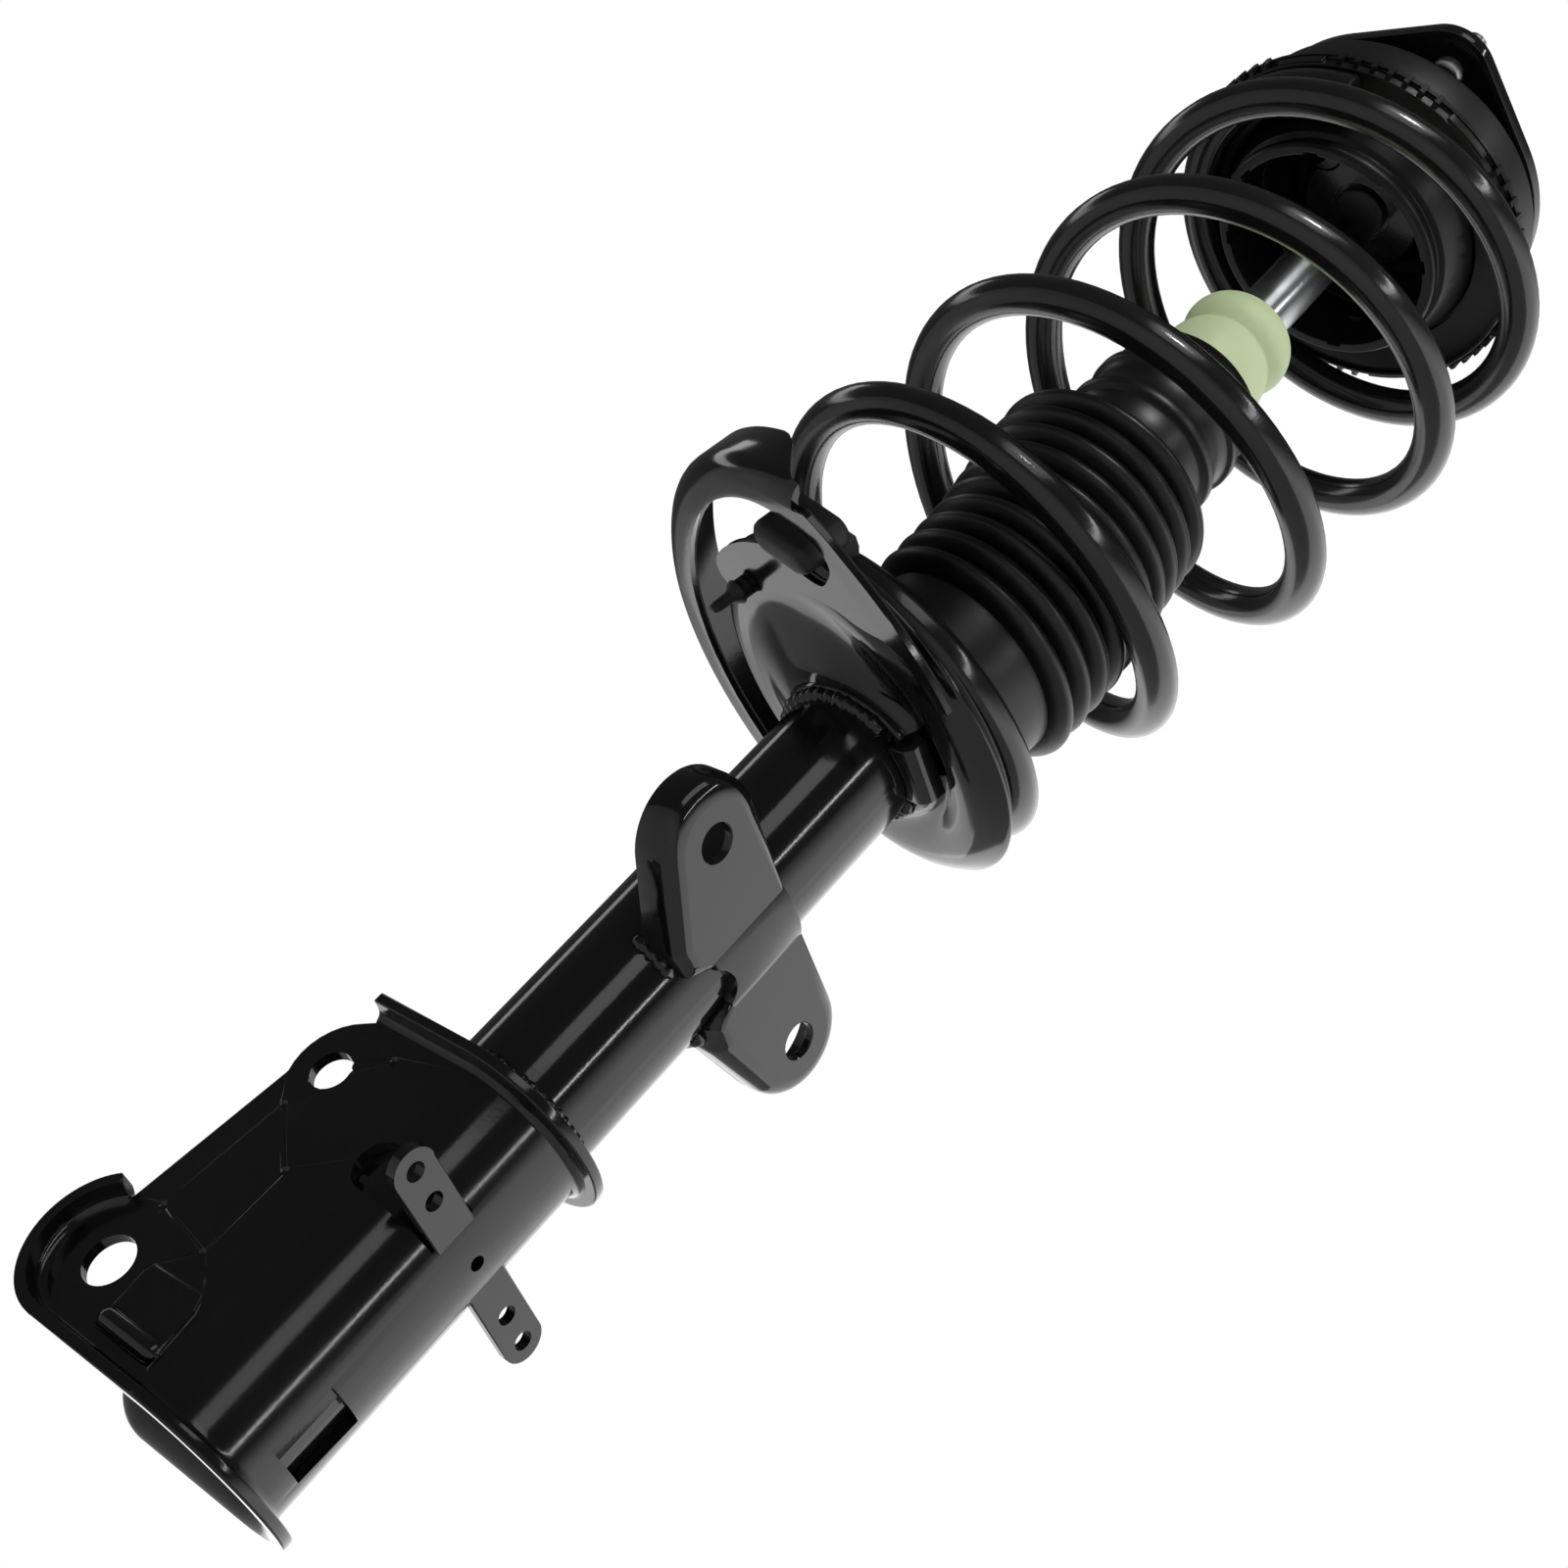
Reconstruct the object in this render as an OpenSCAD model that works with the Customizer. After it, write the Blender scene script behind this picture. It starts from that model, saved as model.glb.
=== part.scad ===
/* [Damper] */
// Outside diameter of the strut tube
tube_d = 51; // [45:0.5:60]
// Wall thickness of the strut tube
tube_wall = 2.5; // [2:0.1:3.5]
// Diameter of the piston rod
rod_d = 22; // [18:0.5:25]
// Outside diameter of the inner pressure tube
cylinder_d = 35; // [30:0.5:38]
// Travel from full droop to full bump
stroke = 110; // [60:1:130]
// Free length of the bump stop
stop_len = 72; // [60:1:100]
// How far the bump stop is squashed at full bump
stop_squash = 23; // [10:1:40]
// Largest radius of the bump stop
stop_r = 22.5; // [19:0.5:24]

/* [Spring] */
// Diameter of the spring wire
wire_d = 14.8; // [11:0.1:18]
// Number of turns in the spring
turns = 5.15; // [4.15:1:7.15]
// Radial room between the tube and the wire of the bottom coil
spring_room = 25.1; // [23:0.1:32]
// How much wider the middle coils are than the bottom coil
coil_swell = 21; // [10:0.5:26]
// Centre-line radius of the top coil
top_coil_r = 65.6; // [60:0.2:80]

/* [Lower seat] */
// Drop from the top of the tube to the centre of the spring seat
seat_drop = 171; // [150:1:210]
// Tilt of the spring seat, outboard side up
seat_tilt = 11; // [6:0.5:13]
// Offset of the spring seat's centre, outboard
seat_shift = 12; // [4:0.5:14]
// Sheet thickness of the spring seat and its guard
seat_t = 3; // [2:0.1:4]
// How far the guard stands out from the seat's rim
guard_reach = 33.6; // [20:0.2:45]
// Height of the guard's turned-up wall
guard_h = 18; // [8:1:30]

/* [Knuckle bracket] */
// Drop from the spring seat's centre to the bracket's top edge
bracket_drop = 189; // [170:1:230]
// Sheet thickness of the knuckle bracket
bracket_t = 3.7; // [3:0.1:5]
// Distance between the two knuckle bolts
bolt_spacing = 82.3; // [70:0.1:110]
// Diameter of the lower knuckle bolt hole
lower_bolt_d = 17.4; // [12:0.1:20]
// Diameter of the upper knuckle bolt hole
upper_bolt_d = 14; // [10:0.1:17]
// Distance from the tube's axis to the lower knuckle bolt
lower_bolt_x = 49.6; // [44:0.1:60]
// Distance from the tube's axis to the upper knuckle bolt
upper_bolt_x = 40.3; // [38:0.1:50]

/* [Sway bar bracket] */
// Drop from the spring seat's centre to the sway link holes
sway_drop = 100; // [90:1:130]
// Distance between the two sway link holes
sway_spacing = 95; // [84:1:120]
// Diameter of a sway link hole
sway_hole_d = 13; // [8:0.1:16]

/* [Top mount] */
// Diameter of the circle through the three tower studs
stud_pcd = 120; // [114:1:144]
// Diameter of a tower stud
stud_d = 10; // [8:0.5:12]
// Length of a tower stud above the seating face
stud_len = 20.5; // [15:0.5:30]
// Thickness of the mount plate
plate_t = 3.5; // [2.5:0.1:5]
// Outside diameter of the bearing cover
cover_d = 136; // [130:1:150]
// Diameter of a bearing ball
ball_d = 6; // [5:0.5:7]
// Number of bearing balls
ball_count = 32; // [20:1:34]

/* [Hidden] */
$fn = 96;

// Fits
run_fit = 0.05;
fit = 0.1;
gap = 0.3;

// Radii that follow from the driving sizes
tube_r = tube_d / 2;
tube_bore_r = tube_r - tube_wall;
rod_r = rod_d / 2;
wire_r = wire_d / 2;
cylinder_r = cylinder_d / 2;
cylinder_wall = 1.5;
cylinder_bore_r = cylinder_r - cylinder_wall;
seat_coil_r = tube_r + spring_room + wire_r;
main_coil_r = seat_coil_r + coil_swell;

// Heights, counted from the mount plate's seating face, downwards negative
cup_h = 24;
z_plate = -plate_t;
z_cup = z_plate - cup_h;
z_stop_top = z_cup - stroke + stop_squash;
z_stop = z_stop_top - stop_len;
z_seat = z_stop - seat_drop;
cap_t = 4;
z_tube_top = z_stop - cap_t - gap;
z_bracket_top = z_seat - bracket_drop;
upper_bolt_inset = 27.1;
lobe_r = 25.6;
z_upper_bolt = z_bracket_top - upper_bolt_inset;
z_lower_bolt = z_upper_bolt - bolt_spacing;
z_bracket_bottom = z_lower_bolt - lobe_r;
z_tube_bottom = z_bracket_bottom + 9;
z_sway = z_seat - sway_drop;

// Top mount
stud_r = stud_d / 2;
knurl_r = stud_r + 0.8;
stud_circle_r = stud_pcd / 2;
stud_azimuths = [0, 120, 240];
lobe_corner_r = 19;
plate_r = 64.5;
dome_r = 38;
dome_h = 13;
crown_r = 17;
sheet_t = 3;
stub_r = 7;
core_r = 16;
z_shoulder = z_cup + 4.5;

// Bearing and its cover
cover_r = cover_d / 2;
ball_r = ball_d / 2;
pitch_r = cover_r - 14;
race_w = 6.5;
race_t = 4.3;
race_gap = 2.4;
z_cover_bottom = z_plate - 26;
z_balls = z_plate - 19;

// Upper spring seat
pad_t = 2.5;
flange_t = 3;
z_flange_top = z_cover_bottom - 3;
z_flange = z_flange_top - flange_t;
z_pad = z_flange - pad_t;
z_coil_top = z_pad - wire_r - 0.15;
collar_h = 26;
collar_r = top_coil_r - 21.8;
rib_count = 48;

// Spring
lead_in = 0.55;
lead_out = 1.3;
tip_azimuth = 48;
pad_gap = gap + 2.7;
trough_r = wire_r + pad_gap;
z_coil_bottom = z_seat + trough_r * cos(seat_tilt);
spring_h = z_coil_top - z_coil_bottom;
pitch = spring_h / (turns - lead_in / 2 - lead_out / 2);
rings_per_turn = 33;
wire_sides = 10;

// Lower seat
lip_angle = 30;
rim_h = trough_r * (1 - sin(lip_angle));
rim_r = seat_coil_r + trough_r;
guard_in_r = main_coil_r + wire_r + 2.6;
guard_out_r = rim_r + guard_reach + seat_t;
guard_open = 72;
guard_span = 84;

// Knuckle bracket
bracket_r = tube_r + fit;
bend_r = 3;
edge_w = 10.9;
bracket_out = bracket_r + bracket_t;

function arc(cx, cy, r, a0, a1, n = 8) =
    [for (i = [0:n]) let (a = a0 + (a1 - a0) * i / n) [cx + r * cos(a), cy + r * sin(a)]];
function ease(u) = let (v = min(1, max(0, u))) v * v * (3 - 2 * v);

// ---- helpers ----
module turned(points) {
    rotate_extrude() polygon(points);
}

module pipe(r_in, r_out, z0, z1) {
    turned([[r_in, z0], [r_out, z0], [r_out, z1], [r_in, z1]]);
}

module disc(r, z0, z1) {
    translate([0, 0, z0]) cylinder(r = r, h = z1 - z0);
}

module wedge(r, a0, a1, z0, z1) {
    translate([0, 0, z0])
        linear_extrude(z1 - z0)
            polygon(concat([[0, 0]], arc(0, 0, r, a0, a1, 6)));
}

module at_studs() {
    for (a = stud_azimuths) rotate([0, 0, a]) translate([stud_circle_r, 0, 0]) children();
}

module in_seat_frame() {
    translate([seat_shift, 0, z_seat]) rotate([0, -seat_tilt, 0]) children();
}

module both_sides() {
    children();
    mirror([0, 1, 0]) children();
}

// A closed tube through rings of points, each ring listed in the same sense
module skin(rings, closed = false) {
    n = len(rings[0]);
    m = len(rings);
    last = closed ? m - 1 : m - 2;
    sides = [for (j = [0:last], i = [0:n - 1])
        let (a = j * n + i, b = j * n + (i + 1) % n, k = (j + 1) % m)
        let (c = k * n + (i + 1) % n, d = k * n + i)
        each [[a, c, b], [a, d, c]]];
    caps = closed ? [] : [for (i = [1:n - 2])
        each [[0, i, i + 1], [(m - 1) * n, (m - 1) * n + i + 1, (m - 1) * n + i]]];
    polyhedron(points = [for (ring = rings) each ring], faces = concat(sides, caps), convexity = 10);
}

// ---- top mount ----
module lobe_outline(r, corner_r) {
    flank = acos((r - corner_r) / stud_circle_r);
    circle(r);
    for (a = stud_azimuths) rotate(a) {
        translate([stud_circle_r, 0]) circle(corner_r);
        polygon([
            [r * cos(flank), -r * sin(flank)],
            [stud_circle_r + corner_r * cos(flank), -corner_r * sin(flank)],
            [stud_circle_r + corner_r * cos(flank), corner_r * sin(flank)],
            [r * cos(flank), r * sin(flank)]
        ]);
    }
}

module mount_plate() {
    border_w = 3;
    border_h = 1.6;
    shoulder_r = 4;
    color("#1b1c1e") difference() {
        union() {
            translate([0, 0, -plate_t]) linear_extrude(plate_t) lobe_outline(plate_r, lobe_corner_r);
            translate([0, 0, -plate_t - border_h]) linear_extrude(border_h + plate_t) difference() {
                lobe_outline(plate_r, lobe_corner_r);
                lobe_outline(plate_r - border_w, lobe_corner_r - border_w);
            }
            turned(concat([[0, -plate_t], [dome_r + shoulder_r, -plate_t], [dome_r + shoulder_r, 0]],
                arc(dome_r + shoulder_r, shoulder_r, shoulder_r, -90, -165, 4),
                arc(dome_r - 9, dome_h - 7, 7, 15, 90, 5), [[0, dome_h]]));
        }
        turned(concat([[0, -plate_t - 1], [dome_r - sheet_t, -plate_t - 1], [dome_r - sheet_t, 0]],
            arc(dome_r - 10, dome_h - 8, 5, 15, 90, 5), [[0, dome_h - sheet_t]]));
        disc(crown_r, 0, dome_h + 1);
        at_studs() disc(knurl_r + run_fit, -plate_t - 3, 1);
    }
}

module mount_studs() {
    head_r = 6.6;
    head_h = 3.4;
    tip = 1.2;
    color("#b9bcc0") at_studs() turned(concat(
        [[0, -plate_t - head_h]],
        arc(head_r - 3, -plate_t - head_h + 3, 3, -90, -10, 4),
        [[head_r, -plate_t - 0.01], [knurl_r, -plate_t - 0.01], [knurl_r, -0.15],
            [stud_r, -0.05], [stud_r, stud_len - tip], [stud_r - tip, stud_len], [0, stud_len]]));
}

module mount_cup() {
    lip_r = dome_r + 5;
    top_r = dome_r - 4;
    floor_r = dome_r - 10;
    hole_r = rod_r + 1.5;
    z_lip = z_plate - fit;
    recess_r = 9;
    color("#202224") difference() {
        turned([[lip_r, z_lip], [lip_r, z_lip - sheet_t], [top_r + 1.5, z_lip - sheet_t],
            [top_r, z_lip - sheet_t - 2], [floor_r, z_cup + 3], [floor_r - 3, z_cup],
            [hole_r, z_cup], [hole_r, z_cup + sheet_t], [floor_r - 4, z_cup + sheet_t],
            [floor_r - 3, z_cup + sheet_t + 1], [top_r - 3, z_lip - sheet_t - 2], [top_r - 3, z_lip]]);
        for (a = [60:120:300]) rotate([0, 0, a])
            translate([floor_r + 2, 0, z_cup - 1]) cylinder(r = recess_r, h = 2.2);
    }
}

module mount_rubber() {
    top_r = dome_r - 4 - sheet_t - fit;
    color("#141414") turned([
        [core_r + fit, z_cup + 6], [dome_r - 15, z_cup + 6], [top_r - 1, z_plate - 6],
        [top_r - 1, 4], [top_r - 4, dome_h - 6], [core_r + fit, dome_h - 6]]);
}

module mount_core() {
    color("#8c8f93") pipe(stub_r + run_fit, core_r, z_shoulder + run_fit, 2);
}

module rod_washer() {
    color("#a3a6aa") pipe(stub_r + fit, core_r, 2 + run_fit, 5);
}

module rod_nut() {
    flats = 22;
    nut_h = 11;
    z0 = 5 + run_fit;
    color("#b4b7bb") difference() {
        union() {
            disc(flats / 2 + 2.5, z0, z0 + 2.5);
            intersection() {
                translate([0, 0, z0]) cylinder(r = flats / 2 / cos(30), h = nut_h, $fn = 6);
                turned([[0, z0], [flats / 2 + 2, z0], [flats / 2 + 2, z0 + nut_h - 1.6],
                    [flats / 2 - 0.4, z0 + nut_h], [0, z0 + nut_h]]);
            }
        }
        disc(stub_r + run_fit, z0 - 1, z0 + nut_h + 1);
    }
}

// ---- bearing ----
module bearing_cover() {
    wall = 2.4;
    top_r = cover_r - 8;
    inner_r = dome_r + 6;
    z_roof = z_balls + race_gap / 2 + race_t + run_fit;
    z_band_top = z_plate - 8;
    pocket_r = 8.4;
    color("#2b2c2e") difference() {
        turned(concat(
            [[inner_r, z_cover_bottom], [inner_r + wall, z_cover_bottom], [inner_r + wall, z_roof],
                [cover_r - wall, z_roof], [cover_r - wall, z_cover_bottom]],
            arc(cover_r - 1, z_cover_bottom + 1, 1, -90, 0, 3),
            arc(cover_r - 2, z_band_top - 2, 2, 0, 45, 3),
            [[top_r, z_plate - fit], [inner_r, z_plate - fit]]));
        at_studs() disc(pocket_r, z_plate - 7, 1);
    }
}

module race(z_back, z_face) {
    difference() {
        pipe(pitch_r - race_w, pitch_r + race_w, min(z_back, z_face), max(z_back, z_face));
        rotate_extrude() translate([pitch_r, z_balls]) circle(ball_r + run_fit, $fn = 32);
    }
}

module bearing_upper_race() {
    color("#9fa2a6") race(z_balls + race_gap / 2 + race_t, z_balls + race_gap / 2);
}

module bearing_lower_race() {
    color("#9fa2a6") race(z_balls - race_gap / 2 - race_t, z_balls - race_gap / 2);
}

module bearing_balls() {
    color("#cfd2d6") for (i = [0:ball_count - 1])
        rotate([0, 0, i * 360 / ball_count]) translate([pitch_r, 0, z_balls]) sphere(ball_r, $fn = 32);
}

module ball_cage() {
    half_h = race_gap / 2 - 0.35;
    color("#3c3f42") difference() {
        pipe(pitch_r - 4.5, pitch_r + 4.5, z_balls - half_h, z_balls + half_h);
        for (i = [0:ball_count - 1]) rotate([0, 0, i * 360 / ball_count])
            translate([pitch_r, 0, z_balls - 2]) cylinder(r = ball_r + fit, h = 4, $fn = 32);
    }
}

// ---- upper spring seat and its pad ----
module upper_spring_seat() {
    wall = 3.4;
    z_mouth = z_flange_top - collar_h;
    z_perch = z_balls - race_gap / 2 - race_t - run_fit;
    nest_r = wire_r + 0.45;
    skirt_in = top_coil_r + nest_r * cos(50);
    z_skirt = z_coil_top + nest_r * sin(50);
    rim = skirt_in + 3;
    rib_out = skirt_in + 1;
    rib_in = rib_out - 5;
    outer_r = top_coil_r - wire_r - 3.4;
    color("#1a1a1b") difference() {
        union() {
            turned([[collar_r, z_mouth], [collar_r + 3.8, z_mouth], [collar_r + 4.7, z_mouth + 1.5],
                [collar_r + 4.7, z_mouth + 4], [collar_r + wall, z_mouth + 5],
                [collar_r + wall, z_mouth + 7], [collar_r + 5.6, z_mouth + 8],
                [outer_r, z_pad + 0.2], [outer_r, z_flange], [skirt_in, z_flange],
                [skirt_in, z_skirt], [skirt_in + 1.6, z_skirt], [skirt_in + 1.6, z_flange + 0.6],
                [rim, z_flange + 0.9], [rim, z_flange + 2], [rib_in, z_flange + 2.2],
                [rib_in, z_cover_bottom - 0.5], [rib_in - 2, z_cover_bottom - 0.5],
                [rib_in - 2, z_flange_top], [pitch_r + race_w, z_flange_top], [pitch_r + race_w, z_perch],
                [pitch_r - race_w, z_perch], [pitch_r - race_w, z_flange_top], [collar_r, z_flange_top]]);
            for (i = [0:rib_count - 1]) rotate([0, 0, i * 360 / rib_count])
                translate([rib_in - 0.5, -1.1, z_flange + 1])
                    cube([rib_out - rib_in + 0.5, 2.2, z_cover_bottom - 0.5 - z_flange - 1]);
            for (i = [0:5]) rotate([0, 0, i * 60 + 20]) intersection() {
                pipe(skirt_in + 0.8, skirt_in + 2.9, z_skirt + 0.5, z_flange + 1);
                wedge(skirt_in + 20, -8, 8, z_skirt - 1, z_flange + 2);
            }
        }
        for (i = [0:7]) rotate([0, 0, i * 45])
            translate([collar_r - 1, -3, z_mouth - 1]) cube([2.2, 6, collar_h - 6]);
    }
}

module upper_isolator() {
    in_r = top_coil_r - wire_r - 2.2;
    out_r = top_coil_r + (wire_r + 0.45) * cos(50) - 0.1;
    color("#101010") pipe(in_r, out_r, z_pad, z_flange - run_fit);
}

// ---- spring ----
function coil_rise(t) =
    t < lead_in ? pitch * t * t / (2 * lead_in)
    : t < turns - lead_out ? pitch * (t - lead_in / 2)
    : spring_h - pitch * (turns - t) * (turns - t) / (2 * lead_out);
function coil_radius(t) =
    seat_coil_r + coil_swell * ease((t - 0.14) / 0.84)
    - (main_coil_r - top_coil_r) * ease((t - turns + 0.78) / 0.61);
// The spring's centre line leans outboard low down and inboard above
function coil_shift(t) = let (start = seat_shift - trough_r * sin(seat_tilt))
    start + 5 * ease(t / 0.8) - (start + 13.5) * ease((t - 1.1) / 2.2) + 8.5 * ease((t - turns + 0.65) / 0.6);
function coil_tilt(t) =
    seat_tilt + 2 * ease(t / 0.8) - seat_tilt * ease((t - 1.1) / 3.2) - 2 * ease((t - turns + 0.65) / 0.6);
function coil_point(t) =
    let (a = tip_azimuth + 360 * t, r = coil_radius(t), tilt = coil_tilt(t))
    [coil_shift(t) + r * cos(a) * cos(tilt), r * sin(a),
        z_coil_bottom + coil_rise(t) + r * cos(a) * sin(tilt)];
function unit(v) = v / norm(v);
function coil_ring(t) =
    let (a = tip_azimuth + 360 * t, dt = 0.002)
    let (along = unit(coil_point(t + dt) - coil_point(t - dt)))
    let (side = unit(cross([0, 0, 1], along)), up = cross(along, side))
    [for (i = [0:wire_sides - 1]) let (b = 360 * i / wire_sides)
        coil_point(t) + wire_r * (cos(b) * side + sin(b) * up)];

coil_steps = round(turns * rings_per_turn);
coil_line = [for (i = [0:2:coil_steps]) coil_point(turns * i / coil_steps)];
coil_far = ceil(rings_per_turn / 4);
coil_least = min([for (i = [0:len(coil_line) - 1], j = [i + coil_far:len(coil_line) - 1])
    if (j < len(coil_line)) norm(coil_line[i] - coil_line[j])]) - wire_d;
echo(least_gap_between_coils = coil_least);

module coil_spring() {
    color("#0c0c0d") skin([for (i = [0:coil_steps]) coil_ring(turns * i / coil_steps)]);
}

// ---- damper inner pieces ----
module piston_rod() {
    stub_end = z_shoulder + 46;
    z_rod = z_piston + piston_h;
    lower_stub_r = 6.5;
    color("#d8dade") turned([
        [0, z_piston - 16], [lower_stub_r, z_piston - 16], [lower_stub_r, z_rod],
        [rod_r - 1, z_rod], [rod_r, z_rod + 1], [rod_r, z_shoulder - 1], [rod_r - 1, z_shoulder],
        [stub_r, z_shoulder], [stub_r, stub_end - 1.5], [stub_r - 1.5, stub_end], [0, stub_end]]);
}

seal_h = 5;
guide_h = 21;
lip_t = 2;
rebound_h = 17;
piston_h = 24;
z_seal = z_tube_top - lip_t - seal_h - run_fit;
z_guide = z_seal - guide_h - run_fit;
z_rebound = z_guide - rebound_h - gap;
z_piston = z_rebound - 62 - piston_h;
base_t = 14;
z_foot = z_tube_bottom + base_t;
foot_h = 16;

module piston() {
    groove = 1.2;
    r = cylinder_bore_r - 0.8;
    color("#6f7276") difference() {
        turned([[6.55, z_piston], [r - 1, z_piston], [r, z_piston + 1], [r, z_piston + 7],
            [r - groove, z_piston + 7], [r - groove, z_piston + 17], [r, z_piston + 17],
            [r, z_piston + piston_h - 1.05], [6.55, z_piston + piston_h - 1.05]]);
        for (i = [0:7]) rotate([0, 0, i * 45])
            translate([10.6, 0, z_piston - 1]) cylinder(r = 1.5, h = piston_h + 2, $fn = 24);
    }
}

module piston_band() {
    r = cylinder_bore_r - 0.8;
    color("#3b2f26") pipe(r - 1.15, cylinder_bore_r - run_fit, z_piston + 7.05, z_piston + 16.95);
}

module valve_shims() {
    color("#8d9094") union() {
        pipe(6.55, 13, z_piston - 0.6, z_piston - run_fit);
        pipe(6.55, 11, z_piston - 1.2, z_piston - 0.6);
        pipe(6.55, 9.5, z_piston - 1.8, z_piston - 1.2);
    }
}

module piston_nut() {
    z1 = z_piston - 1.85;
    color("#7d8084") difference() {
        translate([0, 0, z1 - 9]) cylinder(r = 11, h = 9, $fn = 6);
        disc(6.55, z1 - 10, z1 + 1);
    }
}

module rebound_stop() {
    r = cylinder_bore_r - 0.6;
    z1 = z_rebound + rebound_h;
    color("#23252a") turned([[rod_r + run_fit, z_rebound], [r - 3, z_rebound], [r, z_rebound + 3],
        [r, z1 - 3], [r - 2, z1], [rod_r + run_fit, z1]]);
}

module strut_tube() {
    corner = 2.5;
    lip_r = tube_r - 6.5;
    color("#141517") turned(concat(
        [[tube_bore_r, z_tube_bottom], [tube_r, z_tube_bottom]],
        arc(tube_r - corner, z_tube_top - corner, corner, 0, 90, 5),
        [[lip_r, z_tube_top], [lip_r, z_tube_top - lip_t], [tube_bore_r, z_tube_top - lip_t]]));
}

module tube_base() {
    r = tube_bore_r - run_fit;
    dish_r = r - 5;
    color("#1d1e20") turned([[0, z_tube_bottom + 5], [dish_r - 4, z_tube_bottom + 5],
        [dish_r, z_tube_bottom], [r, z_tube_bottom], [r, z_foot - run_fit], [0, z_foot - run_fit]]);
}

module pressure_tube() {
    color("#7a7d81") pipe(cylinder_bore_r, cylinder_r, z_foot + 5, z_guide + 4);
}

module foot_valve() {
    color("#66696d") difference() {
        turned([[0, z_foot], [tube_bore_r - 0.3, z_foot], [tube_bore_r - 0.3, z_foot + 3],
            [cylinder_r + 1, z_foot + 5 - run_fit], [cylinder_bore_r - run_fit, z_foot + 5 - run_fit],
            [cylinder_bore_r - run_fit, z_foot + foot_h - 2], [cylinder_bore_r - 2, z_foot + foot_h],
            [0, z_foot + foot_h]]);
        for (i = [0:5]) rotate([0, 0, i * 60])
            translate([8.5, 0, z_foot - 1]) cylinder(r = 1.6, h = foot_h + 2, $fn = 24);
    }
}

module rod_guide() {
    spigot_r = cylinder_bore_r - run_fit;
    color("#75787c") turned([[rod_r + run_fit, z_guide], [spigot_r, z_guide],
        [spigot_r, z_guide + 4 + run_fit], [tube_bore_r - run_fit, z_guide + 4 + run_fit],
        [tube_bore_r - run_fit, z_guide + guide_h], [rod_r + run_fit, z_guide + guide_h]]);
}

module rod_seal() {
    color("#151515") turned([[rod_r + run_fit, z_seal], [tube_bore_r - run_fit, z_seal],
        [tube_bore_r - run_fit, z_seal + seal_h], [rod_r + 3, z_seal + seal_h],
        [rod_r + run_fit, z_seal + seal_h - 2]]);
}

module striker_cap() {
    skirt = 17;
    bore_r = rod_r + 2;
    color("#202224") turned([[tube_r + fit, z_tube_top - skirt], [tube_r + fit + 1, z_tube_top - skirt],
        [tube_r + fit + 1, z_tube_top + cap_t - 1], [tube_r, z_tube_top + cap_t],
        [bore_r, z_tube_top + cap_t], [bore_r, z_tube_top + run_fit], [tube_r + fit, z_tube_top + run_fit]]);
}

// ---- bump stop and boot ----
module bump_stop() {
    crease_r = stop_r - 4.2;
    bore_r = rod_r + 0.8;
    nose_r = stop_r - 9;
    z_crease = z_stop_top - stop_len * 0.27;
    z_waist = z_stop + stop_len * 0.32;
    top_h = z_stop_top - z_crease;
    mid_h = z_crease - z_waist;
    low_h = z_waist - z_stop;
    color("#c9e0b0") turned(concat(
        [[bore_r, z_stop]],
        [for (i = [0:6]) [crease_r + (stop_r - crease_r) * sin(30 + 150 * i / 6), z_stop + low_h * i / 6]],
        [for (i = [1:9]) [crease_r + (stop_r - crease_r) * sin(180 * i / 9) ^ 0.55,
            z_waist + mid_h * i / 9]],
        [for (i = [1:4]) [crease_r + (stop_r - crease_r) * sin(90 * i / 4), z_crease + top_h * 0.42 * i / 4]],
        [for (i = [1:6]) [nose_r + (stop_r - nose_r) * cos(90 * i / 6),
            z_crease + top_h * (0.42 + 0.58 * sin(90 * i / 6))]],
        [[bore_r, z_stop_top]]));
}

boot_crests = 10;
boot_sides = 26;
boot_foot = 42;
boot_crest_r = tube_r + 19.5;
boot_valley_r = tube_r + 12.5;
boot_neck_r = tube_r + 3.6;
boot_wall = 1.8;
z_boot = z_seat + 0.6;
z_boot_neck = z_tube_top - 27;
z_boot_bellows = z_boot + boot_foot - 6;
z_boot_top = z_stop + 28;
boot_pitch = (z_boot_neck - z_boot_bellows) / boot_crests;

// How far up the bellows a height is, 0 at the seat and 1 at the neck
function boot_part(z) = min(1, max(0, (z - z_boot) / (z_boot_neck - z_boot)));
function boot_shift(z) =
    -2.5 * (1 - ease((z - z_boot) / 20)) - 9 * ease((z - z_boot) / 30) * (1 - ease((boot_part(z) - 0.45) / 0.55));
function boot_tilt(z) = seat_tilt * (1 - ease(boot_part(z) * 1.02)) * 0.72
    + seat_tilt * 0.28 * (1 - ease(boot_part(z) * 6));
function boot_circle(z, r) =
    let (tilt = boot_tilt(z), x = boot_shift(z))
    [for (i = [0:boot_sides - 1]) let (a = -360 * i / boot_sides)
        [x + r * cos(a) * cos(tilt), r * sin(a), z + r * cos(a) * sin(tilt)]];

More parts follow.
